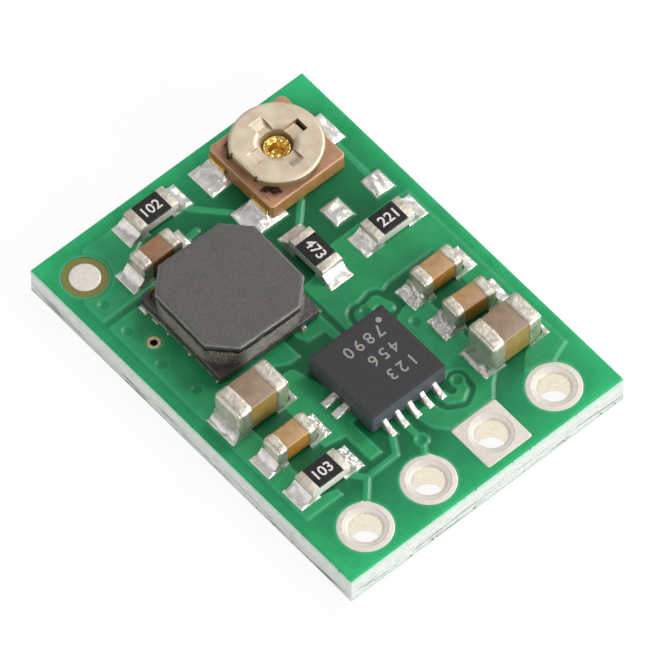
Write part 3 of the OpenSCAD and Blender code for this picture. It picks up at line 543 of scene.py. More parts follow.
def trackFinish():
    # screened carbon ink: near black close to the rotor, fading raggedly to the moulding's colour further out
    material, tree, shader, place = newFinish("resistive_ink", {"IOR": 1.5})
    colour = mottle(tree, shader, place, "#150e0a", "#5a3e2c", 0.13, (0.35, 0.6), 0.02, contrast=0.14)
    x, y, _ = frame["joints"][0]["pos_m"]
    flat = addNode(tree, "VectorMath", [place, (1, 1, 0)], operation="MULTIPLY")
    away = addNode(tree, "VectorMath", [flat, (x, y, 0)], "Value", operation="DISTANCE")
    away = addNode(tree, "MapRange", [away, 1.36 * mm, 1.9 * mm])
    patch = addNode(tree, "TexNoise", {"Vector": place, "Scale": perMm(0.3), "Detail": 4})
    ragged = addNode(tree, "Math", [away, patch], operation="ADD")
    lighterTone = addNode(tree, "MapRange", [ragged, 0.82, 1.12])
    both = addNode(tree, "Mix", {0: lighterTone, 6: colour, 7: "#b98765"}, 2, data_type="RGBA")
    fillInputs(tree, shader, {"Base Color": both})
    return material


def platingFinish():
    # tinned copper: frosted pinkish white on the flat pad and more of a mirror down the barrel, painted paler
    # there as painted light for the light that comes up through the hole
    material, tree, shader, place = newFinish("tinned_plating", {})
    mottle(tree, shader, place, "#ddd4c9", "#ece4da", 0.12, relief=0.004, sides=("#efe4d0", "#fff6e2"))
    facing = facingAlong(tree, "Z")
    fillInputs(tree, shader, {
        "Metallic": addNode(tree, "MapRange", [facing, *spans["upright"], 0.15, 0.95]),
        "Roughness": addNode(tree, "MapRange", [facing, *spans["upright"], 0.44, 0.2])})
    return material


def solderFinish():
    # reflowed tin solder: bright silver, frozen in soft facets, painted darker on its slopes as painted
    # shade, with a few amber traces of flux
    material, tree, shader, place = newFinish("reflowed_solder", {"Metallic": 0.62})
    colour = mottle(tree, shader, place, "#dfdad3", "#fffdfa", 0.22, (0.22, 0.42), 0.018,
                    sides=("#b4b0a8", "#e4dfd6"))
    trace = addNode(tree, "TexNoise", {"Vector": place, "Scale": perMm(0.3), "Detail": 3})
    trace = addNode(tree, "MapRange", [trace, 0.66, 0.78, 0, 0.6])
    both = addNode(tree, "Mix", {0: trace, 6: colour, 7: "#b99248"}, 2, data_type="RGBA")
    fillInputs(tree, shader, {"Base Color": both})
    return material


# Keys are the record's slots where a slot has one finish; each grained row gives dark and light colour,
# grain in millimetres, roughness and relief
finishes = {
    "solder_mask": maskFinish(),
    "laminate": laminateFinish(),
    "plating": platingFinish(),
    "solder": solderFinish(),
    "track": trackFinish(),
    # matte tin: pinkish white metal with a fine frosted grain
    "tin": grained("matte_tin", {"Metallic": 0.15}, "#e6dcd1", "#f6eee5", 0.12, (0.36, 0.52), 0.004),
    # tin on the inductor's terminals, painted dark as shade under the plate, with bright specks as painted
    # glints
    "shadedTin": grained(
        "tin_painted_dark_with_glints", {"Metallic": 0.4}, "#302d2a", "#d6d1c8", 0.14, (0.35, 0.5), contrast=0.1),
    # fired and tin-plated silver end caps: cream white, finely pebbled
    "cap": grained("plated_end_cap", {"Metallic": 0.85}, "#cac1b0", "#ebe4d6", 0.16, (0.34, 0.52), 0.014),
    # etched copper: plain warm metal, seen only at the rims of the mask
    "copper": grained("etched_copper", {"Metallic": 1.0}, "#b06a3c", "#cf8a58", 0.15, (0.3, 0.45)),
    # gold-flashed brass: warm yellow metal with darker handling marks
    "gold_brass": grained(
        "gold_flashed_brass", {"Metallic": 1.0}, "#d6a53c", "#ffe492", 0.2, (0.22, 0.36), 0.002),
    # nickel-plated pressed brass: warm satin beige with blotches; its walls are painted browner and darker as
    # painted shade
    "rotor_metal": grained(
        "satin_plated_brass", {"Metallic": 0.55}, "#d6c4aa", "#ecdcc4", 0.6, (0.34, 0.48), 0.003, 6,
        sides=("#94805c", "#b39e78")),
    # the flange: bevels painted paler as a painted highlight, upright sides painted darker as painted shade
    "ferrite": ferriteFinish("ground_ferrite", "#474441", "#54514d", "#72706d", "#96938f",
                             grit=0.004, sides=("#2f2d2c", "#413f3d"), specks=(0.33, 1.18)),
    "shield": ferriteFinish("pressed_ferrite", "#5c544f", "#948c85", "#b6afa7", None, 0.3, 0.016,
                            darkCorners="#48403b"),
    # spring bronze and via plating, painted near black as painted shade: both are seen only where little
    # light comes in
    "shadeDarkMetal": grained("spring_bronze", {"Metallic": 0.7}, "#2a2015", "#4a3a22", 0.2, (0.4, 0.55)),
    # tinned rim of a small via, tan where the tin is thin
    "viaTin": grained("thin_tin", {"Metallic": 0.4}, "#c2b079", "#f0e6c6", 0.1, (0.3, 0.45)),
    # resin-bound plate: near black with a soft gloss
    "base_plastic": grained(
        "filled_resin_plate", {"IOR": 1.55}, "#3f3a39", "#5a5453", 0.25, (0.18, 0.36), 0.01),
    # cured adhesive: black, dull and uneven; out at the flange's edge its black also stands as painted shade
    # in the gap
    "adhesive": grained("cured_adhesive", {"IOR": 1.5}, "#100e0d", "#221e1b", 0.2, (0.4, 0.6), 0.01),
    # epoxy moulding with silica filler: matte charcoal with a fine sandy grain; its upright sides painted a
    # lighter bluish grey as painted light
    "mould_compound": grained("mould_compound", {"IOR": 1.5}, "#252327", "#3a383c", 0.07, (0.5, 0.66), 0.006,
                              sides=("#3f464d", "#5c6269")),
    # polished silicon: a dark bluish mirror
    "silicon": grained("polished_silicon", {"Metallic": 0.6}, "#62687a", "#7a8090", 0.3, (0.15, 0.25)),
    # moulded thermoset: satin reddish brown, its upright sides painted darker as painted shade and its bevel
    # painted pale as a painted highlight
    "trimmer_plastic": grained(
        "brown_thermoset", {"IOR": 1.5}, "#b37f5c", "#c6977a", 0.35, (0.4, 0.55), 0.006,
        sides=("#966b3c", "#b28650"), bevel="#d9ad8c"),
    # pressed alumina: chalk white
    "alumina": grained("pressed_alumina", {"IOR": 1.7}, "#d9d6cc", "#f2efe8", 0.12, (0.5, 0.65), 0.004),
    # black glass overcoat: glossy, with a soft orange peel
    "overcoat": grained("black_glass_overcoat", {"IOR": 1.5}, "#151416", "#262426", 0.2, (0.18, 0.32), 0.006),
    # enamelled wire: amber varnish over copper
    "enamel": grained("enamelled_copper_wire", {"Metallic": 0.6}, "#5c4026", "#94703f", 0.2, (0.2, 0.35)),
    # screened white ink: chalky and a little uneven
    "print": grained("white_print_ink", {"IOR": 1.5}, "#d8d2c8", "#f4f0ea", 0.1, (0.5, 0.7)),
    # laser mark: moulding burnt to a pale grey
    "laser": grained("laser_mark", {"IOR": 1.5}, "#8d8882", "#aaa59d", 0.06, (0.6, 0.8)),
}
# fired barium ceramic, tumbled: satin brown to tan, its sides painted darker and warmer as painted shade
for slot, name, dark, light, sides in (
        ("brown_ceramic", "brown_fired_ceramic", "#92623e", "#a87a54", ("#7d4d22", "#95602e")),
        ("tan_ceramic", "tan_fired_ceramic", "#ab8050", "#c09a68", ("#a06c22", "#b98436")),
        ("grey_ceramic", "grey_brown_fired_ceramic", "#887058", "#a0876d", ("#8f7638", "#a98f52"))):
    finishes[slot] = grained(name, {"IOR": 1.7}, dark, light, 0.25, (0.36, 0.5), 0.004, sides=sides)
print("finishes made:", len(finishes))


def putPiece(name, sheet, finish, seat=None, replaces=None, body="board", marks=None, crease=38):
    # makes a mesh of a sheet in millimetres, on its seat, closes its poles and seams, and sets it on a body
    points, faces = sheet
    if seat:
        points = toBoard(points, seat)
    mesh = bpy.data.meshes.new(name)
    mesh.from_pydata((points * mm).tolist(), [], faces.tolist())
    for key, values in (marks or {}).items():
        mesh.attributes.new(key, "FLOAT", "POINT").data.foreach_set("value", values.astype(np.float32))
    if marks is None:
        work = bmesh.new()
        work.from_mesh(mesh)
        bmesh.ops.remove_doubles(work, verts=work.verts, dist=2e-9)
        bmesh.ops.dissolve_degenerate(work, edges=work.edges, dist=1e-9)
        bmesh.ops.recalc_face_normals(work, faces=work.faces)
        work.to_mesh(mesh)
        work.free()
    mesh.shade_smooth()
    mesh.set_sharp_from_angle(angle=math.radians(crease))
    mesh.materials.append(finishes[finish])
    piece = bpy.data.objects.new(name, mesh)
    bpy.context.scene.collection.objects.link(piece)
    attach(piece, body)
    if replaces:
        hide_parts(replaces)


# Heights of the board's layers and places of its parts, from the solids
board, fiducial = seatOf("substrate"), seatOf("fiducial_disc")
boardZ, laminateZ, padZ = board["high"], board["low"], fiducial["high"]
foilT = padZ - boardZ
filmT = nodePoints("solder_mask_top")[:, 2].max() - padZ
boardX, boardY = cadBox[1].x / mm, cadBox[1].y / mm
pads = {part: loosePieces(part + "_solder") for part in (
    "resistor", "capacitor", "trimmer", "inductor", "spare_pad")}
chipSeat, chipPads = dict(seatOf("chip_body"), turn=0.0), loosePieces("chip_solder")
halfChip = chipSeat["length"] / 2
pinSeats = [seatOf(f"plated_hole_{k}") for k in (1, 2, 3, 4)]
viaSpots = [seatOf(p)["middle"] for p in loosePieces("via_plating")]


# Solder mask, top and bottom
maskLook = {
    "cells": (240, 325), "margin": 0.02, "overlap": -0.012, "coilOverlap": -0.08, "slope": 0.045,
    "edgeRound": 0.05, "edgeDrop": 0.6, "lowFilm": 0.4, "squarePin": 3, "tieWidth": 0.3, "tiePitch": 0.5,
    "rimWidth": 0.04, "rimShare": 0.45, "rimInset": 0.03, "openingRim": 0.7, "openingWidth": 0.06,
    "glowReach": 0.8, "edgeGlow": 0.74, "leftGlow": 0.5, "pinGlow": 0.2, "pinGlowFrom": -4.6,
    "pinGlowReach": 1.2, "fiducialOpening": 1.5, "openVia": 0.5, "openViaNear": (-4.4, 3.0),
    "viaShade": 0.5, "viaReach": 0.27}
openVia = min(viaSpots, key=lambda spot: np.hypot(*(spot - maskLook["openViaNear"])))


def pinHoles(margin):
    holes = [discHole(s["middle"], s["length"] / 2 + margin) for s in pinSeats]
    square = maskLook["squarePin"] - 1
    holes[square] = padHole(pinSeats[square], margin)
    return holes


def tieBars(points):
    # side, toe and row of the four tie bars that show beside the chip
    return [(side, (side * (points[:, 0] - chipSeat["middle"][0])).max(), row * maskLook["tiePitch"])
            for side in (-1, 1) for row in (-0.5, 0.5)]


def chipHoles(margin):
    # openings of the chip's lead pads, one for each separate solid, and of the tie bars at its sides
    seats = []
    for points in chipPads:
        seat = seatOf(points)
        if seat["length"] < halfChip:
            seats.append(seat)
            continue
        for side, toe, row in tieBars(points):
            seats.append({"middle": chipSeat["middle"] + [side * (halfChip + toe) / 2, row], "turn": 0.0,
                          "length": toe - halfChip, "width": maskLook["tieWidth"]})
    return [padHole(seat, margin) for seat in seats]


def maskSheet(foil, holes, level, raised, side):
    # film over etched copper: its height eases from the bare level to the raised one across each copper edge.
    # Marks hold how much copper lies below, a painted highlight along each copper edge and round each round
    # opening, and a painted glow near the board's own edge and by the pins
    look = maskLook
    xs, ys = (np.linspace(-half, half, cells + 1) for half, cells in zip((boardX, boardY), look["cells"]))
    x, y, faces = snappedSheet(xs, ys, holes)
    inward = signedDistance(topOutline(foil), x, y)
    copper = ease((inward + look["slope"]) / (2 * look["slope"]))
    toEdge = np.stack([boardX - np.abs(x), boardY - np.abs(y)])
    lip = roundOff(toEdge.min(0), look["edgeRound"])
    z = level + side * (raised * copper - look["edgeDrop"] * filmT * lip)
    # painted glow: lighter towards the board's edges, less on the left and more by the pins
    dim = 1 - np.exp(-toEdge / look["glowReach"]) * look["edgeGlow"]
    dim[0] = np.where(x < 0, 1 - (1 - dim[0]) * look["leftGlow"] / look["edgeGlow"], dim[0])
    byPins = ease((look["pinGlowFrom"] - y) / look["pinGlowReach"])
    glow = 1 - dim.prod(0) * (1 - look["pinGlow"] * byPins)
    # painted highlight along each copper edge and round each round opening
    rim = look["rimShare"] * np.exp(-((inward - look["rimInset"]) / look["rimWidth"]) ** 2)
    for hole in holes:
        if "radius" in hole:
            near = np.exp(-(awayFrom(hole, x, y)[0] / look["openingWidth"]) ** 2)
            rim = np.maximum(rim, look["openingRim"] * near)
    for spot in viaSpots:
        near = np.hypot(x - spot[0], y - spot[1]) < look["viaReach"]
        copper = np.where(near, np.maximum(copper, look["viaShade"]), copper)
        rim = np.where(near, rim * (1 - look["viaShade"]), rim)
    foot = boardZ if side > 0 else laminateZ
    sheet, hung = hungWalls(np.stack([x, y, z], 1), faces[:, ::side], foot)
    marks = {"copper": copper, "rim": rim, "glow": glow}
    return sheet, {key: np.concatenate([v, v[hung]]) for key, v in marks.items()}


viaHole = discHole(openVia, maskLook["openVia"] / 2)
topHoles = pinHoles(maskLook["margin"]) + chipHoles(maskLook["overlap"])
for part, places in pads.items():
    lap = maskLook["coilOverlap" if part == "inductor" else "overlap"]
    topHoles += [padHole(seatOf(p), lap) for p in places]
topHoles += [discHole(fiducial["middle"], maskLook["fiducialOpening"] / 2), viaHole]
sheet, marks = maskSheet("copper_foil_top", topHoles, boardZ + filmT, foilT, 1)
putPiece("maskTop", sheet, "solder_mask", None, "solder_mask_top", marks=marks)
lowFilm = filmT * maskLook["lowFilm"]
sheet, marks = maskSheet("copper_foil_bottom", pinHoles(maskLook["margin"]) + [viaHole], lowFilm, lowFilm, -1)
putPiece("maskBottom", sheet, "solder_mask", None, "solder_mask_bottom", marks=marks)
print("solder mask done")


# Frayed saw cut round the laminate; each wave is (length, seed, strength, how fast it changes with height)
frayLook = {
    "proud": 0.014, "depth": 0.05, "levels": 22, "pace": 0.03, "corner": 0.03, "lip": 0.01, "fade": 14,
    "mean": 0.6, "swing": 0.6, "most": 1.6, "waves": ((0.5, 3, 1.0, 6), (0.14, 4, 0.7, 9))}


def sawnEdge():
    # band round the board: at each level of its height the outline moves out by a ripple along the edge
    look = frayLook
    steps = int(2 * boardY / look["pace"])
    centres, out = roundedWalk(boxCorners(2 * boardX, 2 * boardY), look["corner"], 4, steps)
    height = np.linspace(laminateZ, boardZ, look["levels"])[:, None]
    outline = centres + look["corner"] * out
    run = np.concatenate([[0], np.cumsum(np.linalg.norm(np.diff(outline, axis=0), axis=1))])[None]
    ragged = sum(
        strong * ripple(run, height * fast, size, seed) for size, seed, strong, fast in look["waves"])
    edge = np.minimum(height - laminateZ, boardZ - height) / (boardZ - laminateZ)
    fray = np.clip(look["mean"] + look["swing"] * ragged, 0, look["most"])
    push = look["proud"] * fray * ease(edge * look["fade"])
    skin = withHeight(outline[None] + push[..., None] * out[None], height)
    inner = outline - look["depth"] * out
    back = [withHeight(inner, z)[None] for z in (boardZ - look["lip"], laminateZ + look["lip"])]
    return gridSheet(np.concatenate([skin] + back), closeRows=True)


putPiece("laminateFray", sawnEdge(), "laminate", crease=60)
print("laminate edge done")


# Plated pin holes
holeLook = {
    "lip": 0.2, "lipDrop": 0.06, "dome": 0.012, "edge": 0.012, "bevel": 0.02, "wall": 0.045, "sunk": 0.001,
    "inset": 0.02, "waves": 0.008, "waveSize": 0.5, "steps": 128, "squareness": 30, "underMask": 0.03,
    "nub": 0.07, "nubTurn": 50, "nubWidth": 7, "nubPins": (1, 2)}


def platedHole(number, seat, bore):
    # pad, round lip, barrel, lip and pad again as one closed profile, carried round the hole: a share of 0 is
    # the bore and of 1 the pad's outline, a circle with a nub or a square with round corners, which the mask
    # laps over
    look = holeLook
    lip, drop, half, low = look["lip"], look["lipDrop"], seat["length"] / 2, seat["low"]
    wide = half - bore
    wall, top, foot = look["wall"] / wide, boardZ + look["sunk"], laminateZ - look["sunk"]
    angles = np.linspace(0, np.pi / 2, 8)
    profile = [(1, top), (1, padZ - look["edge"]), (1 - look["bevel"] / wide, padZ)]
    swell = [(s, math.sin(math.pi * min(1, s * 1.15))) for s in (0.85, 0.75, 0.65, 0.58)]
    profile += [(s, padZ + look["dome"] * up) for s, up in swell]
    profile += [(lip * (1 - math.cos(a)) / wide, padZ - drop + drop * math.sin(a)) for a in angles[::-1]]
    profile += [(0, z) for z in np.linspace(padZ - drop, low + drop, 12)[1:-1]]
    profile += [(lip * (1 - math.cos(a)) / wide, low + drop - drop * math.sin(a)) for a in angles]
    profile += [(0.6, low), (1, low), (1, foot), (0.3, foot), (wall, laminateZ + look["inset"]),
                (wall, boardZ - look["inset"]), (0.3, top)]
    share, z = np.array(profile).T[:, :, None]
    angle = np.linspace(0, 2 * np.pi, look["steps"], endpoint=False)[None]
    c, s = np.cos(angle), np.sin(angle)
    if number == maskLook["squarePin"]:
        power = look["squareness"]
        outer = half / (np.abs(c) ** power + np.abs(s) ** power) ** (1 / power)
    else:
        turn = np.degrees(angle) - look["nubTurn"]
        nub = look["nub"] * (number in look["nubPins"])
        outer = half + nub * np.exp(-((turn + 180) % 360 - 180) ** 2 / (2 * look["nubWidth"] ** 2))
    outer = outer + look["underMask"]
    inBarrel = np.exp(-(share / 0.2) ** 2)
    wave = look["waves"] * ripple(c * 1.5 + 0 * z, s * 1.5 + z, look["waveSize"], number) * inBarrel
    reach = bore + wide * share + (outer - half) * ease((share - 0.62) / 0.3) + wave
    return gridSheet(withHeight(np.stack([reach * c, reach * s], -1), z), closeRows=True)


for number, seat in enumerate(pinSeats, 1):
    node = f"plated_hole_{number}"
    bore = np.hypot(*toLocal(nodePoints(node), seat).T).min()
    upright = dict(seat, turn=0.0)
    putPiece(f"pinHole{number}", platedHole(number, seat, bore), "plating", upright, node, crease=50)
print("pin holes done")


# Fiducial disc and the ring of the open via
discLook = {"dome": 0.012, "edge": 0.02, "viaRing": 0.24, "viaBore": 0.12, "viaTop": 0.02}


def tinnedDisc(radius):
    # low dome: a flat disc whose height falls with the square of the radius, with a round edge
    share = np.array([0, 0.3, 0.6, 0.85, 0.95, 1.0, 1.0])
    z = padZ + discLook["dome"] * (1 - share ** 2) - discLook["edge"] * np.array([0, 0, 0, 0, 0.15, 0.6, 1.7])
    top = turnedRings(np.stack([share * radius, z], 1), 64)
    return gridSheet(np.concatenate([top, top[:1] * [1, 1, 0] + [0, 0, z[-1]]]))


def viaRing():
    # small tinned ring with a round top, turned round the via
    ring, bore = discLook["viaRing"], discLook["viaBore"]
    angle = np.linspace(0, np.pi, 9)
    middle, half = (ring + bore) / 2, (ring - bore) / 2
    arch = [(middle + half * math.cos(a), padZ + discLook["viaTop"] * math.sin(a)) for a in angle]
    return gridSheet(turnedRings(arch + [(bore, boardZ), (ring, boardZ)], 48), closeRows=True)


putPiece("fiducialPad", tinnedDisc(fiducial["length"] / 2), "tin", fiducial, "fiducial_disc")
putPiece("openViaRing", viaRing(), "viaTin", {"middle": openVia, "turn": 0.0})
print("fiducial and via done")


# Solder joints
solderLook = {
    "edge": 0.06, "lump": 0.016, "lumpSize": 0.45, "crinkle": 0.024, "crinkleSize": 0.16, "smooth": 0.1,
    "sideClimb": 0.6, "sideFade": 0.3, "crown": 1.5, "overMask": 0.01, "thinnest": 0.004, "narrowest": 0.01,
    "tuck": 0.02, "lap": 0.1, "underPart": 0.98, "sideSteps": 6, "outSteps": 26, "acrossSteps": 20,
    "capacitorPower": 2.8, "resistorPower": 2.0, "creaseReach": 0.7,
    "creased": ((2.6, -0.97), (2.5, -2.45), (2.45, -4.1), (-2.7, -2.6), (-2.75, -4.13), (0.1, 2.9)),
    "domeWaves": ((0.25, 0.4), (0.004, 0.15)), "domePower": 0.6, "domeFoot": 0.0005, "domeSteps": 29}


def solderJoint(seat, land, endX, halfW, midY, topZ, seed, power, crinkle):
    # meniscus on one pad: from the end face to the toe the height falls as a power of what is left of the
    # way, towards the pad's sides it falls with the square, and a quarter round closes it at the pad's border
    look = solderLook
    (x0, x1), (y0, y1) = land
    tiny, narrow, few = 1e-4, look["narrowest"], look["sideSteps"]
    flip = -1 if x0 + x1 < 0 else 1
    inner, toe = sorted((abs(x0), abs(x1)))
    inner = min(inner, endX - look["tuck"]) if x0 * x1 > 0 else endX - look["lap"]
    xs = np.concatenate([np.linspace(inner, endX, few), np.linspace(endX + tiny, toe, look["outSteps"])])
    left, right = max(y0, midY - halfW), min(y1, midY + halfW)
    ys = np.concatenate([np.linspace(y0, left - tiny, few) if left - y0 > narrow else [],
                         np.linspace(left, right, look["acrossSteps"]),
                         np.linspace(right + tiny, y1, few) if y1 - right > narrow else []])
    x, y = np.meshgrid(xs, ys, indexing="ij")
    out = np.clip((x - endX) / (toe - endX), 0, 1)
    gap = np.where(y < midY, left - y0, y1 - right)
    beside = np.clip((np.abs(y - midY) - halfW) / np.maximum(gap, narrow), 0, 1)
    under = (x <= endX) & (beside == 0)
    border = np.minimum(toe - x, np.minimum(y - y0, y1 - y))
    edge = np.sqrt(1 - (1 - np.clip(border / look["edge"], 0.02, 1)) ** 2)
    climb = (1 - out) ** power * (1 - beside) ** 2
    climb *= np.where(x < endX, look["sideClimb"] * np.exp((x - endX) / look["sideFade"]), 1)
    lumps = look["lump"] * ripple(x, y, look["lumpSize"], seed)
    lumps += crinkle * look["crinkle"] * ripple(x, y, look["crinkleSize"], seed + 1)
    film = filmT + look["overMask"]
    body = film * look["crown"] + lumps * (0.3 + np.minimum(out * 4, 1))
    height = edge * body + edge * (topZ - padZ) * climb
    height = np.where(under, film * look["underPart"], np.maximum(height, look["thinnest"]))
    top = np.stack([flip * x, y, padZ + height], -1)
    points, faces = closedSheet(*gridSheet(top, closeCols=False), padZ)
    return toBoard(points, seat), faces


def landIn(points, seat):
    x, y = toLocal(points, seat).T
    return spanOf(x), spanOf(y)


def midOf(points):
    return (points[:, :2].min(0) + points[:, :2].max(0)) / 2


def jointsOf(part):
    # one joint for each pad of a kind of part, on the part that lies nearest to it
    seats = [seatOf(n) for n in frame["nodes"] if part in n and n.endswith("_terminals")]
    sheets = []
    for k, points in enumerate(pads[part]):
        middle = midOf(points)
        seat = min(seats, key=lambda s: np.hypot(*(s["middle"] - middle)))
        nearest = min(np.hypot(*(middle - spot)) for spot in solderLook["creased"])
        crinkle = 1 if nearest < solderLook["creaseReach"] else solderLook["smooth"]
        sheets.append(solderJoint(
            seat, landIn(points, seat), seat["length"] / 2, seat["width"] / 2, 0.0, points[:, 2].max(),
            10 * k + len(part + "_solder"), solderLook[part + "Power"], crinkle))
    return joined(*sheets)


def spareDome(points, seed):
    # dome on a bare pad: a power of one minus the fourth power of each share across, with frozen ripples
    seat = seatOf(points)
    a, b, steps = seat["length"] / 2, seat["width"] / 2, solderLook["domeSteps"]
    x, y = np.meshgrid(np.linspace(-a, a, steps), np.linspace(-b, b, steps), indexing="ij")
    share = (1 - np.abs(x / a) ** 4) * (1 - np.abs(y / b) ** 4)
    swell = np.clip(share, solderLook["domeFoot"], 1) ** solderLook["domePower"]
    rise = (points[:, 2].max() - padZ) * swell
    waves = enumerate(solderLook["domeWaves"])
    broad, fine = (deep * ripple(x, y, size, seed + k) for k, (deep, size) in waves)
    z = padZ + rise * (1 + broad) + share * fine
    points, faces = closedSheet(*gridSheet(np.stack([x, y, z], -1), closeCols=False), padZ)
    return toBoard(points, seat), faces


def putSolder(part, name, sheets):
    putPiece(name, joined(*sheets), "solder", None, part + "_solder", crease=60)


for part in ("resistor", "capacitor"):
    putSolder(part, part + "Solder", [jointsOf(part)])
putSolder("spare_pad", "spareSolder", [spareDome(p, 60 + k) for k, p in enumerate(pads["spare_pad"])])
print("solder joints done")


# Chip resistors
resistorLook = {
    "edge": 0.05, "film": 0.03, "filmEdge": 0.45, "coreEdge": 0.02, "coreInset": 0.01, "dome": 0.008,
    "coatEdge": 0.03, "coatCorner": 0.05, "digits": ("102", "473", "221", "103"), "digitHeight": 0.37,
    "digitSunk": 0.004}


def barSheet(seat, length, width, radius):
    # bar along X: a round-cornered section carried along, shrinking to a flat end over a quarter round
    half, height = length / 2, seat["high"] - seat["low"]
    ends = quarterRound(half, radius, 1) + [(half, radius, 0)]
    rings = [(-h, i, s) for h, i, s in ends[::-1]] + ends
    points = stackedRings(boxCorners(width, height), radius, rings, 3)
    return gridSheet(points[..., [2, 0, 1]] + [0, 0, seat["low"] + height / 2])


def capStrip(seat, side, band):
    # C-shaped end cap: a thin strip bent round the end, its outer face on the solid's
    t, half = resistorLook["film"], seat["length"] / 2
    low, high = seat["low"] + t / 2, seat["high"] - t / 2
    path = roundedPath([(half - band, high), (half - t / 2, high), (half - t / 2, low), (half - band, low)],
                       resistorLook["edge"])
    return bentStrip(path * [side, 1], seat["width"], t, t * resistorLook["filmEdge"])


def textSheet(words, height, spacing=1.0, weight=0.014, thick=0.006):
    # thin lettering: the font's filled outlines as closed solids, centred, from height 0 up, in millimetres
    curve = bpy.data.curves.new("words", "FONT")
    curve.body, curve.align_x, curve.align_y = words, "CENTER", "CENTER"
    curve.space_character, curve.resolution_u, curve.offset, curve.extrude = spacing, 3, weight, thick
    holder = bpy.data.objects.new("words", curve)
    bpy.context.scene.collection.objects.link(holder)
    bpy.context.view_layer.update()
    mesh = bpy.data.meshes.new_from_object(holder.evaluated_get(bpy.context.evaluated_depsgraph_get()))
    points, triangles = meshArrays(mesh)
    bpy.data.objects.remove(holder)
    bpy.data.meshes.remove(mesh)
    middle = (points.min(0) + points.max(0)) / 2
    middle[2] = points[:, 2].min()
    return (points - middle) * height / np.ptp(points[:, 1]), triangles


for k, digits in enumerate(resistorLook["digits"], 1):
    node, look = f"resistor_{k}_", resistorLook
    seat, core, coat = (seatOf(node + part) for part in ("terminals", "body", "overcoat"))
    bar = barSheet(core, core["length"], core["width"] - look["coreInset"], look["coreEdge"])
    putPiece(f"resistorCore{k}", bar, "alumina", seat, node + "body")
    band = (seat["length"] - coat["length"]) / 2
    caps = joined(capStrip(seat, 1, band), capStrip(seat, -1, band))
    putPiece(f"resistorCaps{k}", caps, "cap", seat, node + "terminals")
    low, high, dome = coat["low"], coat["high"], look["dome"]
    rings = [(low, 0, 0), (low, 0, 1)] + quarterRound(high - dome, look["coatEdge"], 1)
    rings += [(high - dome * s * s, look["coatEdge"], s) for s in (0.9, 0.6, 0.3, 0)]
    film = stackedRings(boxCorners(coat["length"], coat["width"]), look["coatCorner"], rings, 4, 4)
    putPiece(f"resistorCoat{k}", gridSheet(film), "overcoat", seat, node + "overcoat")
    points, faces = textSheet(digits, look["digitHeight"])
    reading = dict(seat, turn=seat["turn"] - math.pi if abs(seat["turn"]) > 1 else seat["turn"])
    putPiece(f"resistorDigits{k}", (points + [0, 0, high - look["digitSunk"]], faces), "print", reading)
print("resistors done")


# Chip capacitors
capacitorLook = {
    "edge": 0.14, "wall": 0.03, "lipEdge": 0.02, "swell": 0.01, "bodyEdge": 0.07, "waver": 0.014,
    "waverSize": 0.5, "bow": 0.05,
    "ceramics": {"small": ("brown_ceramic", "tan_ceramic", "tan_ceramic", "tan_ceramic"),
                 "large": ("grey_ceramic", "grey_ceramic")}}


def endCap(seat, side, band, seed):
    # cup over the body's end: lip, sides, a quarter-round edge and a flat end; the lip wavers
    look = capacitorLook
    half, r, wall, swell = seat["length"] / 2, look["edge"], look["wall"], look["swell"]
    inner = half - band
    rings = [(half - wall, wall, 0), (half - wall, wall, 1), (inner, wall, 1), (inner, wall * 0.4, 1)]
    rings += [(inner + look["lipEdge"], 0, 1)]
    rings += [(inner + (half - r - inner) * s, 0, 1) for s in (0.3, 0.6, 0.85)]
    rings += quarterRound(half, r, 1, 7) + [(half + swell * 0.6, r, 0.6), (half + swell, r, 0)]
    width, height = seat["width"], seat["high"] - seat["low"]
    points = stackedRings(boxCorners(width, height), r, rings, 4, 7)
    x, y, along = np.moveaxis(points, -1, 0)
    share = np.clip((half - r - along) / (half - r - inner), 0, 1)
    bow = np.cos(np.pi * x / width) * np.cos(np.pi * y / height * 0.6)
    along = along + share * (look["waver"] * ripple(x, y, look["waverSize"], seed) - look["bow"] * bow)
    return gridSheet(np.stack([along * side, x, y + (seat["low"] + seat["high"]) / 2], -1))


for size, ceramics in capacitorLook["ceramics"].items():
    for k, ceramic in enumerate(ceramics, 1):
        node = f"{size}_capacitor_{k}_"
        seat, core = seatOf(node + "terminals"), seatOf(node + "body")
        band = seat["length"] / 2 - np.abs(toLocal(nodePoints(node + "terminals"), seat)[:, 0]).min()
        bar = barSheet(core, seat["length"] - band, core["width"], capacitorLook["bodyEdge"])
        putPiece(f"{size}CapCeramic{k}", bar, ceramic, seat, node + "body")
        caps = joined(endCap(seat, 1, band, 7 * k), endCap(seat, -1, band, 7 * k + 3))
        putPiece(f"{size}CapEnds{k}", caps, "cap", seat, node + "terminals")
print("capacitors done")


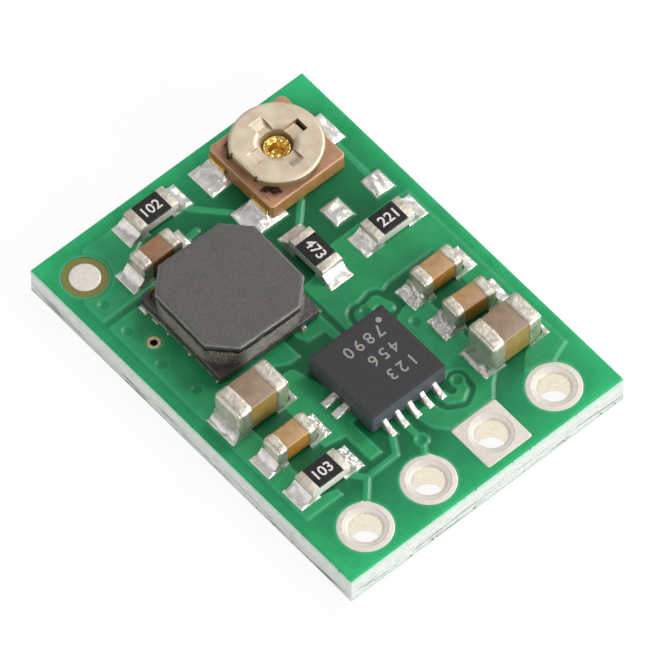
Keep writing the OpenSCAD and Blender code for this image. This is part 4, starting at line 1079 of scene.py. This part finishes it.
# Inductor; the wire's route is (in from two sides, layer, height above its foot), and each bead of solder is
# (x, y, length, width, rise)
inductorLook = {
    "flangeBevel": 0.09, "bevelDrop": 0.05, "flangeCorner": 0.1, "flangeCut": 0.78, "flangeEdge": 0.03,
    "chips": 0.01, "postR": 0.75, "ringCorner": 1.2, "ringEdge": 0.05, "ringFoot": 0.03, "ringWaver": 0.004,
    "baseCorner": 0.12, "baseEdge": 0.05, "baseFoot": 0.02, "baseChips": 0.012,
    "glueSetback": 0.03, "glueCorner": 0.08, "glueFoot": 0.02, "glueChips": 0.03,
    "wire": 0.06, "wireBend": 0.14,
    "wireRoute": ((0.75, 0.62, "adhesive", 0.09), (0.42, 0.42, "adhesive", 0.08), (0.27, 0.27, "ring", 0.35),
                  (0.2, 0.2, "base", 0.05)),
    "solderReach": 0.005, "solderInset": 0.02, "solderRise": 0.05, "solderPower": 1.2, "solderCrinkle": 0.25,
    "beads": ((-0.66, 0.3, 0.2, 0.2, 0.17), (-3.87, 4.05, 0.18, 0.4, 0.1), (-3.87, 3.5, 0.06, 0.3, 0.07),
              (-3.87, 2.9, 0.07, 0.1, 0.07), (-3.87, 1.9, 0.07, 0.12, 0.07), (-3.87, 0.6, 0.08, 0.1, 0.08))}
layers = {part: seatOf("inductor_" + part) for part in ("core", "ring", "base", "adhesive", "terminals")}
coil = dict(layers["terminals"])
coil["turn"] -= math.pi / 2 if coil["turn"] > 0.5 else 0
inductorW = layers["ring"]["length"]


def boredBlock(outer, bore, low, high):
    # closes a stack of rings with a round bore: two more rings on the bore's circle, at top and foot
    unit = outer[-1:, :, :2] / np.linalg.norm(outer[-1:, :, :2], axis=-1, keepdims=True)
    inner = [withHeight(unit * bore, z) for z in (high, low)]
    return gridSheet(np.concatenate([outer] + inner), closeRows=True)


def platePiece(corners, radius, low, high, lowEdge, rings, chips, seed, bore=0):
    # flat plate: its outline with round corners, a round lower edge and the given top rings, edges a little
    # uneven; a bore goes through its middle if it has one
    foot = quarterRound(low, lowEdge, -1, 4)
    middle = [] if bore else [(low, lowEdge, 0)]
    points = stackedRings(corners, radius, middle + foot + rings, 6, 14)
    uneven = chips * ripple(points[..., 0] + points[..., 2], points[..., 1], 0.35, seed)
    away = np.linalg.norm(points[..., :2], axis=-1)
    nearEdge = ease(away / (np.ptp(points[..., 0]) * 0.42))
    points[..., :2] += points[..., :2] / (away + 1e-9)[..., None] * (uneven * nearEdge)[..., None]
    return boredBlock(points, bore, low, high) if bore else gridSheet(points)


def flangeSheet(look):
    # eight-sided plate with a sloping edge, on a round post
    low, high = layers["adhesive"]["high"], layers["core"]["high"]
    bevel, drop = look["flangeBevel"], look["bevelDrop"]
    rings = [(high - drop, 0, 1), (high - drop * 0.45, bevel * 0.2, 1)]
    rings += [(high, bevel, s) for s in (1, 0.98, 0.8, 0.5, 0)]
    flange = platePiece(cutCorners(inductorW, inductorW, look["flangeCut"]), look["flangeCorner"], low, high,
                        look["flangeEdge"], rings, look["chips"], 5)
    foot, r = layers["ring"]["low"], look["postR"]
    return joined(flange, gridSheet(turnedRings([(0, foot), (r, foot), (r, low), (0, low)], 32)))


def shieldRing(look):
    # square ring with round corners outside and a round bore: outer rings follow the square, inner ones
    # the circle
    low, high = layers["ring"]["low"], layers["ring"]["high"]
    rings = quarterRound(low, look["ringFoot"], -1, 4)
    rings += [(low + (high - low) * s, 0, 1) for s in (0.25, 0.5, 0.75)]
    rings += quarterRound(high, look["ringEdge"], 1, 6)
    outer = stackedRings(boxCorners(inductorW, inductorW), look["ringCorner"], rings, 8, 12)
    waver = look["ringWaver"] * ripple(outer[..., 0], outer[..., 1] + outer[..., 2], 0.5, 9)
    outer[..., :2] *= (1 + waver)[..., None]
    return boredBlock(outer, np.hypot(*toLocal(nodePoints("inductor_ring"), coil).T).min(), low, high)


def baseSheet(look):
    # square plate with round corners and edges
    low, high, edge = layers["base"]["low"], layers["base"]["high"], look["baseEdge"]
    rings = quarterRound(high, edge, 1) + [(high, edge, 0)]
    return platePiece(
        boxCorners(inductorW, inductorW), look["baseCorner"], low, high, look["baseFoot"], rings,
        look["baseChips"], 6)


def glueSheet(look):
    # eight-sided fill under the flange, set back and ragged; it reaches so near the flange's edge that its
    # black also stands as painted shade in the gap under the flange
    low, high = layers["adhesive"]["low"], layers["adhesive"]["high"]
    side = inductorW - 2 * look["glueSetback"]
    return platePiece(
        cutCorners(side, side, look["flangeCut"]), look["glueCorner"], low, high, look["glueFoot"],
        [(high, 0, 1), (high, 0, 0)], look["glueChips"], 8)


def wireSheet(look):
    # wire end that comes down at a corner
    corner = inductorW / 2
    route = [(u - corner, corner - v, layers[part]["low"] + rise) for u, v, part, rise in look["wireRoute"]]
    return tube(roundedPath(route, look["wireBend"]), look["wire"])


putPiece("inductorFlange", flangeSheet(inductorLook), "ferrite", coil, "inductor_core", crease=30)
putPiece("inductorShield", shieldRing(inductorLook), "shield", coil, "inductor_ring", crease=40)
putPiece("inductorPlate", baseSheet(inductorLook), "base_plastic", coil, "inductor_base")
putPiece("inductorGlue", glueSheet(inductorLook), "adhesive", coil, "inductor_adhesive")
putPiece("windingEnd", wireSheet(inductorLook), "enamel", coil, crease=60)
padSeat, sheets = dict(coil, turn=0.0), []
halfCoil = inductorW / 2
reach = halfCoil + inductorLook["solderReach"]
jointTop = min(layers["terminals"]["high"], padZ + inductorLook["solderRise"])
for k, points in enumerate(pads["inductor"]):
    along, across = landIn(points, padSeat)
    sheets.append(solderJoint(
        padSeat, (np.clip(along, -reach, reach), across), halfCoil - inductorLook["solderInset"], halfCoil,
        0.0, jointTop, 80 + k, inductorLook["solderPower"], inductorLook["solderCrinkle"]))
for k, (x, y, length, width, rise) in enumerate(inductorLook["beads"]):
    sheets.append(spareDome(withHeight(np.array(boxCorners(length, width)) + [x, y], padZ + rise), 85 + k))
putSolder("inductor", "inductorSolder", sheets)
print("inductor done")


# Converter chip
chipLook = {
    "edge": 0.02, "corner": 0.03, "foot": 0.01, "chips": 0.003, "dot": 0.1, "dotAt": (1.03, 1.11),
    "sunk": 0.001, "rows": ("123", "456", "7890"), "rowHeight": 0.42, "rowPitch": 0.72, "rowStart": -0.64,
    "rowLeft": 0.9,
    "spacing": 1.4, "weight": 0.006, "leadPower": 1.7, "leadCrinkle": 0.35, "tieInset": 0.1, "tieRise": 0.1,
    "tiePower": 1.0}
chipLow, chipHigh, sunk, dot = chipSeat["low"], chipSeat["high"], chipLook["sunk"], chipLook["dot"]
edge = chipLook["edge"]
rings = quarterRound(chipHigh, edge, 1, 4) + [(chipHigh, edge, s) for s in (0.9, 0.5, 0)]
block = platePiece(
    boxCorners(2 * halfChip, 2 * halfChip), chipLook["corner"], chipLow, chipHigh, chipLook["foot"],
    rings, chipLook["chips"], 11)
putPiece("chipMoulding", block, "mould_compound", chipSeat, "chip_body")
spot = turnedRings([(0, -sunk), (dot, -sunk), (dot, sunk), (dot * 0.8, 2 * sunk), (0, 2 * sunk)], 28)
putPiece("chipDot", gridSheet(spot + [*chipLook["dotAt"], chipHigh]), "laser", chipSeat)
rows = []
for k, word in enumerate(chipLook["rows"]):
    points, faces = textSheet(word, chipLook["rowHeight"], chipLook["spacing"], chipLook["weight"])
    points[:, 0] -= points[:, 0].min()
    corner = [chipLook["rowLeft"], chipLook["rowStart"] + k * chipLook["rowPitch"], chipHigh - sunk]
    rows.append((points * [-1, -1, 1] + corner, faces))
putPiece("chipDigits", joined(*rows), "laser", chipSeat)
sheets, crinkle, halfTie = [], chipLook["leadCrinkle"], maskLook["tieWidth"] / 2
for k, points in enumerate(chipPads):
    if seatOf(points)["length"] > halfChip:
        for side, toe, y in tieBars(points):
            land = (side * (halfChip - chipLook["tieInset"]), side * toe), (y - halfTie, y + halfTie)
            sheets.append(solderJoint(chipSeat, land, halfChip, halfTie, y, chipLow + chipLook["tieRise"],
                                      90 + k + len(sheets), chipLook["tiePower"], crinkle))
        continue
    turned = dict(chipSeat, turn=math.pi / 2)
    land = landIn(points, turned)
    sheets.append(solderJoint(
        turned, land, halfChip, np.ptp(land[1]) / 2, sum(land[1]) / 2, points[:, 2].max(), 120 + k,
        chipLook["leadPower"], crinkle))
putSolder("chip", "chipSolder", sheets)
print("chip done")


# Trimmer; each arm of the rotor's slot is (turn, share of the depth, length of its ramp)
trimmerLook = {
    "bevel": 0.05, "corner": 0.1, "cornerRound": 0.05, "foot": 0.03, "chips": 0.008, "boreR": 0.3,
    "strip": 0.1, "stripBend": 0.09, "stripEdge": 0.03, "solderPower": 1.8, "solderCrinkle": 0.15,
    "rotorR": 1.5, "rotorFlat": 1.35, "rimRound": 0.1, "discT": 0.22, "cells": 136, "slotW": 0.46,
    "slotReach": 1.05, "slotDepth": 0.14, "windowL": 0.12, "notch": 0.06, "notchAt": 0.57,
    "arms": ((0, 1.0, 0.02), (90, 0.95, 0.32), (180, 0.55, 0.4), (270, 0.75, 0.3)),
    "wellR": 0.5, "wellWall": 0.14, "wellFloor": 0.1, "wellBore": 0.32, "wellTop": 0.2, "lip": 0.24,
    "lipDrop": 0.19}
trimmer = dict(seatOf("trimmer_base"), turn=0.0)
axis = np.array(frame["joints"][0]["pos_m"][:2]) / mm
axisSeat = {"middle": axis, "turn": 0.0}
rotorLow, rotorHigh = spanOf(nodePoints("trimmer_rotor")[:, 2])
strips = loosePieces("trimmer_end_terminals") + [nodePoints("trimmer_wiper_terminal")]


def trimmerBase(look):
    # square plate with cut corners, a round upper edge and a bore
    low, high, bevel = trimmer["low"], trimmer["high"], look["bevel"]
    rings = quarterRound(high, bevel, 1, 4) + [(high, bevel, 0.97)]
    corners = cutCorners(*np.ptp(nodePoints("trimmer_base")[:, :2], 0), look["corner"])
    return platePiece(
        corners, look["cornerRound"], low, high, look["foot"], rings, look["chips"], 21, look["boreR"])


def terminalStrip(points, outward):
    # foot under the base, a round bend and an upright on its side, as one strip of constant thickness
    t = trimmerLook["strip"]
    (x0, x1), (y0, y1), (low, high) = (spanOf(v) for v in points.T)
    far, foot = (x1 - t / 2, x0) if outward > 0 else (x0 + t / 2, x1)
    path = roundedPath([(foot, low + t / 2), (far, low + t / 2), (far, high)], trimmerLook["stripBend"])
    points, faces = bentStrip(path, y1 - y0, t * 0.96, trimmerLook["stripEdge"])
    return points + [0, (y0 + y1) / 2, 0], faces


def trimmerJoints(look):
    # one joint for each pad, on the strip that lies nearest to it
    sheets = []
    for k, points in enumerate(pads["trimmer"]):
        middle = points[:, :2].mean(0)
        strip = min(strips, key=lambda p: np.hypot(*(midOf(p) - middle)))
        x, y = toLocal(strip, trimmer).T
        sheets.append(solderJoint(
            trimmer, landIn(points, trimmer), np.abs(x).max(), np.ptp(y) / 2, sum(spanOf(y)) / 2,
            points[:, 2].max(), 150 + k, look["solderPower"], look["solderCrinkle"]))
    return sheets


# Rivet: steps are (in from the head's edge, down from the top), then (share of the bore, down from the top)
rivetLook = {
    "shank": 0.29, "roll": 0.04, "rollRise": 0.045, "under": 0.075, "headLow": 0.07,
    "steps": ((0.1, 0.06), (0.17, 0.12)), "throat": (0.03, 0.2),
    "pit": ((1, 0.27), (1, 0.36), (0.6, 0.4), (0, 0.38)), "creases": 9, "crease": 0.02, "creaseWidth": 0.1}


def rivetSheet(look):
    # hollow rivet: shank, head with a rolled lip and a flared bore, turned round the axis; the flare is
    # creased by a wave round the axis
    spots = nodePoints("trimmer_rivet")
    bore, head = spanOf(np.hypot(*(spots[:, :2] - axis).T))
    low, top = spanOf(spots[:, 2])
    shank, roll, rise = look["shank"], look["roll"], look["rollRise"]
    profile = [(0, low), (shank, low), (shank, top - look["under"]), (head, top - look["headLow"])]
    curl = np.linspace(0, np.pi, 9)
    profile += [(head - roll + roll * math.cos(a), top - rise + rise * math.sin(a)) for a in curl]
    profile += [(head - inset, top - down) for inset, down in look["steps"]]
    profile += [(bore + look["throat"][0], top - look["throat"][1])]
    profile += [(bore * share, top - down) for share, down in look["pit"]]
    points = turnedRings(profile, 72)
    x, y = points[..., 0], points[..., 1]
    angle = np.arctan2(y, x)
    inCone = np.exp(-((np.hypot(x, y) - (head + bore) / 2) / look["creaseWidth"]) ** 2)
    points[..., 2] += look["crease"] * inCone * np.cos(look["creases"] * angle + 2 * np.sin(2 * angle))
    return gridSheet(points)


def rotorPlate(look):
    # pressed disc with a flat: level on top with a round rim, and four arms of a cross slot sunk into it.
    # Three arms ramp out towards their ends, and the +X arm stays deep and ends in a sheared window
    reach, half, depth = look["slotReach"], look["slotW"] / 2, look["slotDepth"]
    line = np.linspace(-look["rotorR"], look["rotorR"], look["cells"] + 1)
    border = dict(discHole((0.0, 0.0), look["rotorR"]), flat=look["rotorFlat"])
    long = look["windowL"]
    window = {"x": reach - long / 2, "y": 0.0, "length": long, "width": 2 * half, "turn": 0.0}
    holes = [discHole((0.0, 0.0), look["wellR"]), window]
    holes += [discHole((-look["rotorFlat"], s * look["notchAt"]), look["notch"]) for s in (-1, 1)]
    x, y, faces = snappedSheet(line, line, holes, border)
    rim = look["rimRound"] * roundOff(-awayFrom(border, x, y)[0], look["rimRound"])
    sink = np.zeros(len(x))
    for turn, deep, ramp in look["arms"]:
        c, s = math.cos(math.radians(turn)), math.sin(math.radians(turn))
        u, v = x * c + y * s, y * c - x * s
        inSlot = ease((half - np.abs(v)) / (line[1] - line[0]) + 0.5) * (u > 0)
        sink = np.maximum(sink, depth * deep * inSlot * ease((reach - u) / ramp))
    lip = look["lipDrop"] * roundOff(np.hypot(x, y) - look["wellR"], look["lip"])
    z = rotorHigh - np.maximum(np.maximum(sink, lip), 0.6 * rim)
    return closedSheet(np.stack([x, y, z], 1), faces, rotorHigh - look["discT"])


def rotorWell(look):
    # drawn cup under the disc: wall, round foot, floor with its bore, and back up outside
    r, low, lid = look["wellR"], rotorLow, rotorHigh - look["discT"] + 0.01
    floor, bore, outer = low + look["wellFloor"], look["wellBore"], r + look["wellWall"]
    profile = [(r, rotorHigh - look["wellTop"]), (r - 0.01, low + 0.16), (r - 0.05, low + 0.105),
               (r - 0.1, floor), (bore, floor), (bore, low), (r, low), (outer, low + 0.06), (outer, lid),
               (r + 0.005, lid)]
    return gridSheet(turnedRings(profile, 72), closeRows=True)


putPiece("trimmerBase", trimmerBase(trimmerLook), "trimmer_plastic", trimmer, "trimmer_base", crease=30)
ends = joined(*[terminalStrip(p, -1) for p in strips[:-1]])
putPiece("trimmerEndStrips", ends, "gold_brass", None, "trimmer_end_terminals")
putPiece("trimmerWiperStrip", terminalStrip(strips[-1], 1), "gold_brass", None, "trimmer_wiper_terminal")
putSolder("trimmer", "trimmerSolder", trimmerJoints(trimmerLook))
putPiece("trimmerRivet", rivetSheet(rivetLook), "gold_brass", axisSeat, "trimmer_rivet")
rotor = joined(rotorPlate(trimmerLook), rotorWell(trimmerLook))
putPiece("trimmerRotor", rotor, "rotor_metal", axisSeat, "trimmer_rotor", body="rotor", crease=35)
print("trimmer done")


# Solids that keep their own shape
kept = {"substrate": "laminate", "copper_foil_top": "copper", "copper_foil_bottom": "copper",
        "via_plating": "shadeDarkMetal", "inductor_winding": "enamel", "inductor_terminals": "shadedTin",
        "chip_leads": "tin", "chip_thermal_pad": "tin", "chip_die": "silicon", "trimmer_track": "track",
        "trimmer_wiper": "shadeDarkMetal"}
for name, finish in kept.items():
    mesh = frame["nodes"][name].data
    mesh.materials.clear()
    mesh.materials.append(finishes[finish])
print("solids dressed:", len(kept))


# Floor, light and camera; each lamp is (power, size, place), in watts and metres
stageLook = {
    "floorSize": 4.0, "floorDrop": 0.00001, "floorColours": ("#f1f1ef", "#f4f4f2"), "floorGrain": 40,
    "shadowShare": 0.07, "sky": 0.29, "skySlope": (0.15, -0.12, 0.2),
    "lamps": {"keyLamp": (1.12, 0.24, (0.12, -0.36, 0.16)), "fillLamp": (0.28, 0.3, (-0.32, 0.13, 0.14)),
              "topLamp": (0.56, 0.1, (0.25, 0.02, 0.33))}}
floorMesh = bpy.data.meshes.new("floor")
half = stageLook["floorSize"] / 2
floorCorners = [(-half, -half, 0), (half, -half, 0), (half, half, 0), (-half, half, 0)]
floorMesh.from_pydata(floorCorners, [], [(0, 1, 2, 3)])
floor = bpy.data.objects.new("floor", floorMesh)
floor.location.z = -stageLook["floorDrop"]
bpy.context.scene.collection.objects.link(floor)
# white paper: even and matte; seen straight or in a mirror it is white, less a share for the shadow
paper, tree, shader, place = newFinish("white_paper", {"Roughness": 0.9})
mottle(tree, shader, place, *stageLook["floorColours"], stageLook["floorGrain"], contrast=0.4)
seen = 0.0
for ray in ("Is Camera Ray", "Is Glossy Ray", "Is Transmission Ray"):
    seen = addNode(tree, "Math", [addNode(tree, "LightPath", out=ray), seen], operation="MAXIMUM")
share = addNode(tree, "Math", [seen, 1 - stageLook["shadowShare"]], operation="MULTIPLY")
white = addNode(tree, "Emission", {"Color": (1, 1, 1, 1), "Strength": 1.0})
mixed = addNode(tree, "MixShader", [share, shader.outputs[0], white])
fillInputs(tree, tree.nodes["Material Output"], {"Surface": mixed})
floorMesh.materials.append(paper)

world = bpy.data.worlds.new("tent")
bpy.context.scene.world = world
world.use_nodes = True
tree = world.node_tree
around = addNode(tree, "TexCoord", out="Generated")
slope = addNode(tree, "VectorMath", [around, stageLook["skySlope"]], "Value", operation="DOT_PRODUCT")
sky = addNode(tree, "Math", [slope, stageLook["sky"]], operation="ADD")
fillInputs(tree, tree.nodes["Background"], {"Color": (1, 1, 1, 1), "Strength": sky})

# square lamps that face the board's middle
for name, (power, size, place) in stageLook["lamps"].items():
    lamp = bpy.data.lights.new(name, "AREA")
    lamp.energy, lamp.size = power, size
    holder = bpy.data.objects.new(name, lamp)
    holder.location = place
    holder.rotation_euler = Vector(place).to_track_quat("Z", "Y").to_euler()
    bpy.context.scene.collection.objects.link(holder)

cameraLook = {"azimuth": -40.632, "elevation": 57.332, "roll": -0.552, "distance": 419.8, "across": 0.2608,
              "upward": 0.2878, "focalPixels": 13730.4, "framePixels": 670, "sensor": 36, "clip": (0.01, 10)}


def photoCamera(look):
    # looks down its own back direction, moved sideways and up by the photo's offset, then rolled
    a, e, roll = (math.radians(look[k]) for k in ("azimuth", "elevation", "roll"))
    back = Vector((math.sin(a) * math.cos(e), -math.cos(a) * math.cos(e), math.sin(e)))
    right = Vector((math.cos(a), math.sin(a), 0))
    up = back.cross(right)
    right, up = math.cos(roll) * right + math.sin(roll) * up, math.cos(roll) * up - math.sin(roll) * right
    data = bpy.data.cameras.new("photoCamera")
    data.sensor_width = look["sensor"]
    data.lens = look["focalPixels"] / look["framePixels"] * look["sensor"]
    data.clip_start, data.clip_end = look["clip"]
    holder = bpy.data.objects.new("photoCamera", data)
    where = (right * look["across"] + up * look["upward"] + back * look["distance"]) * mm
    holder.matrix_world = Matrix.Translation(where) @ Matrix((right, up, back)).transposed().to_4x4()
    bpy.context.scene.collection.objects.link(holder)
    bpy.context.scene.camera = holder


photoCamera(cameraLook)
bpy.context.scene.view_settings.view_transform = "Standard"
print("stage done")
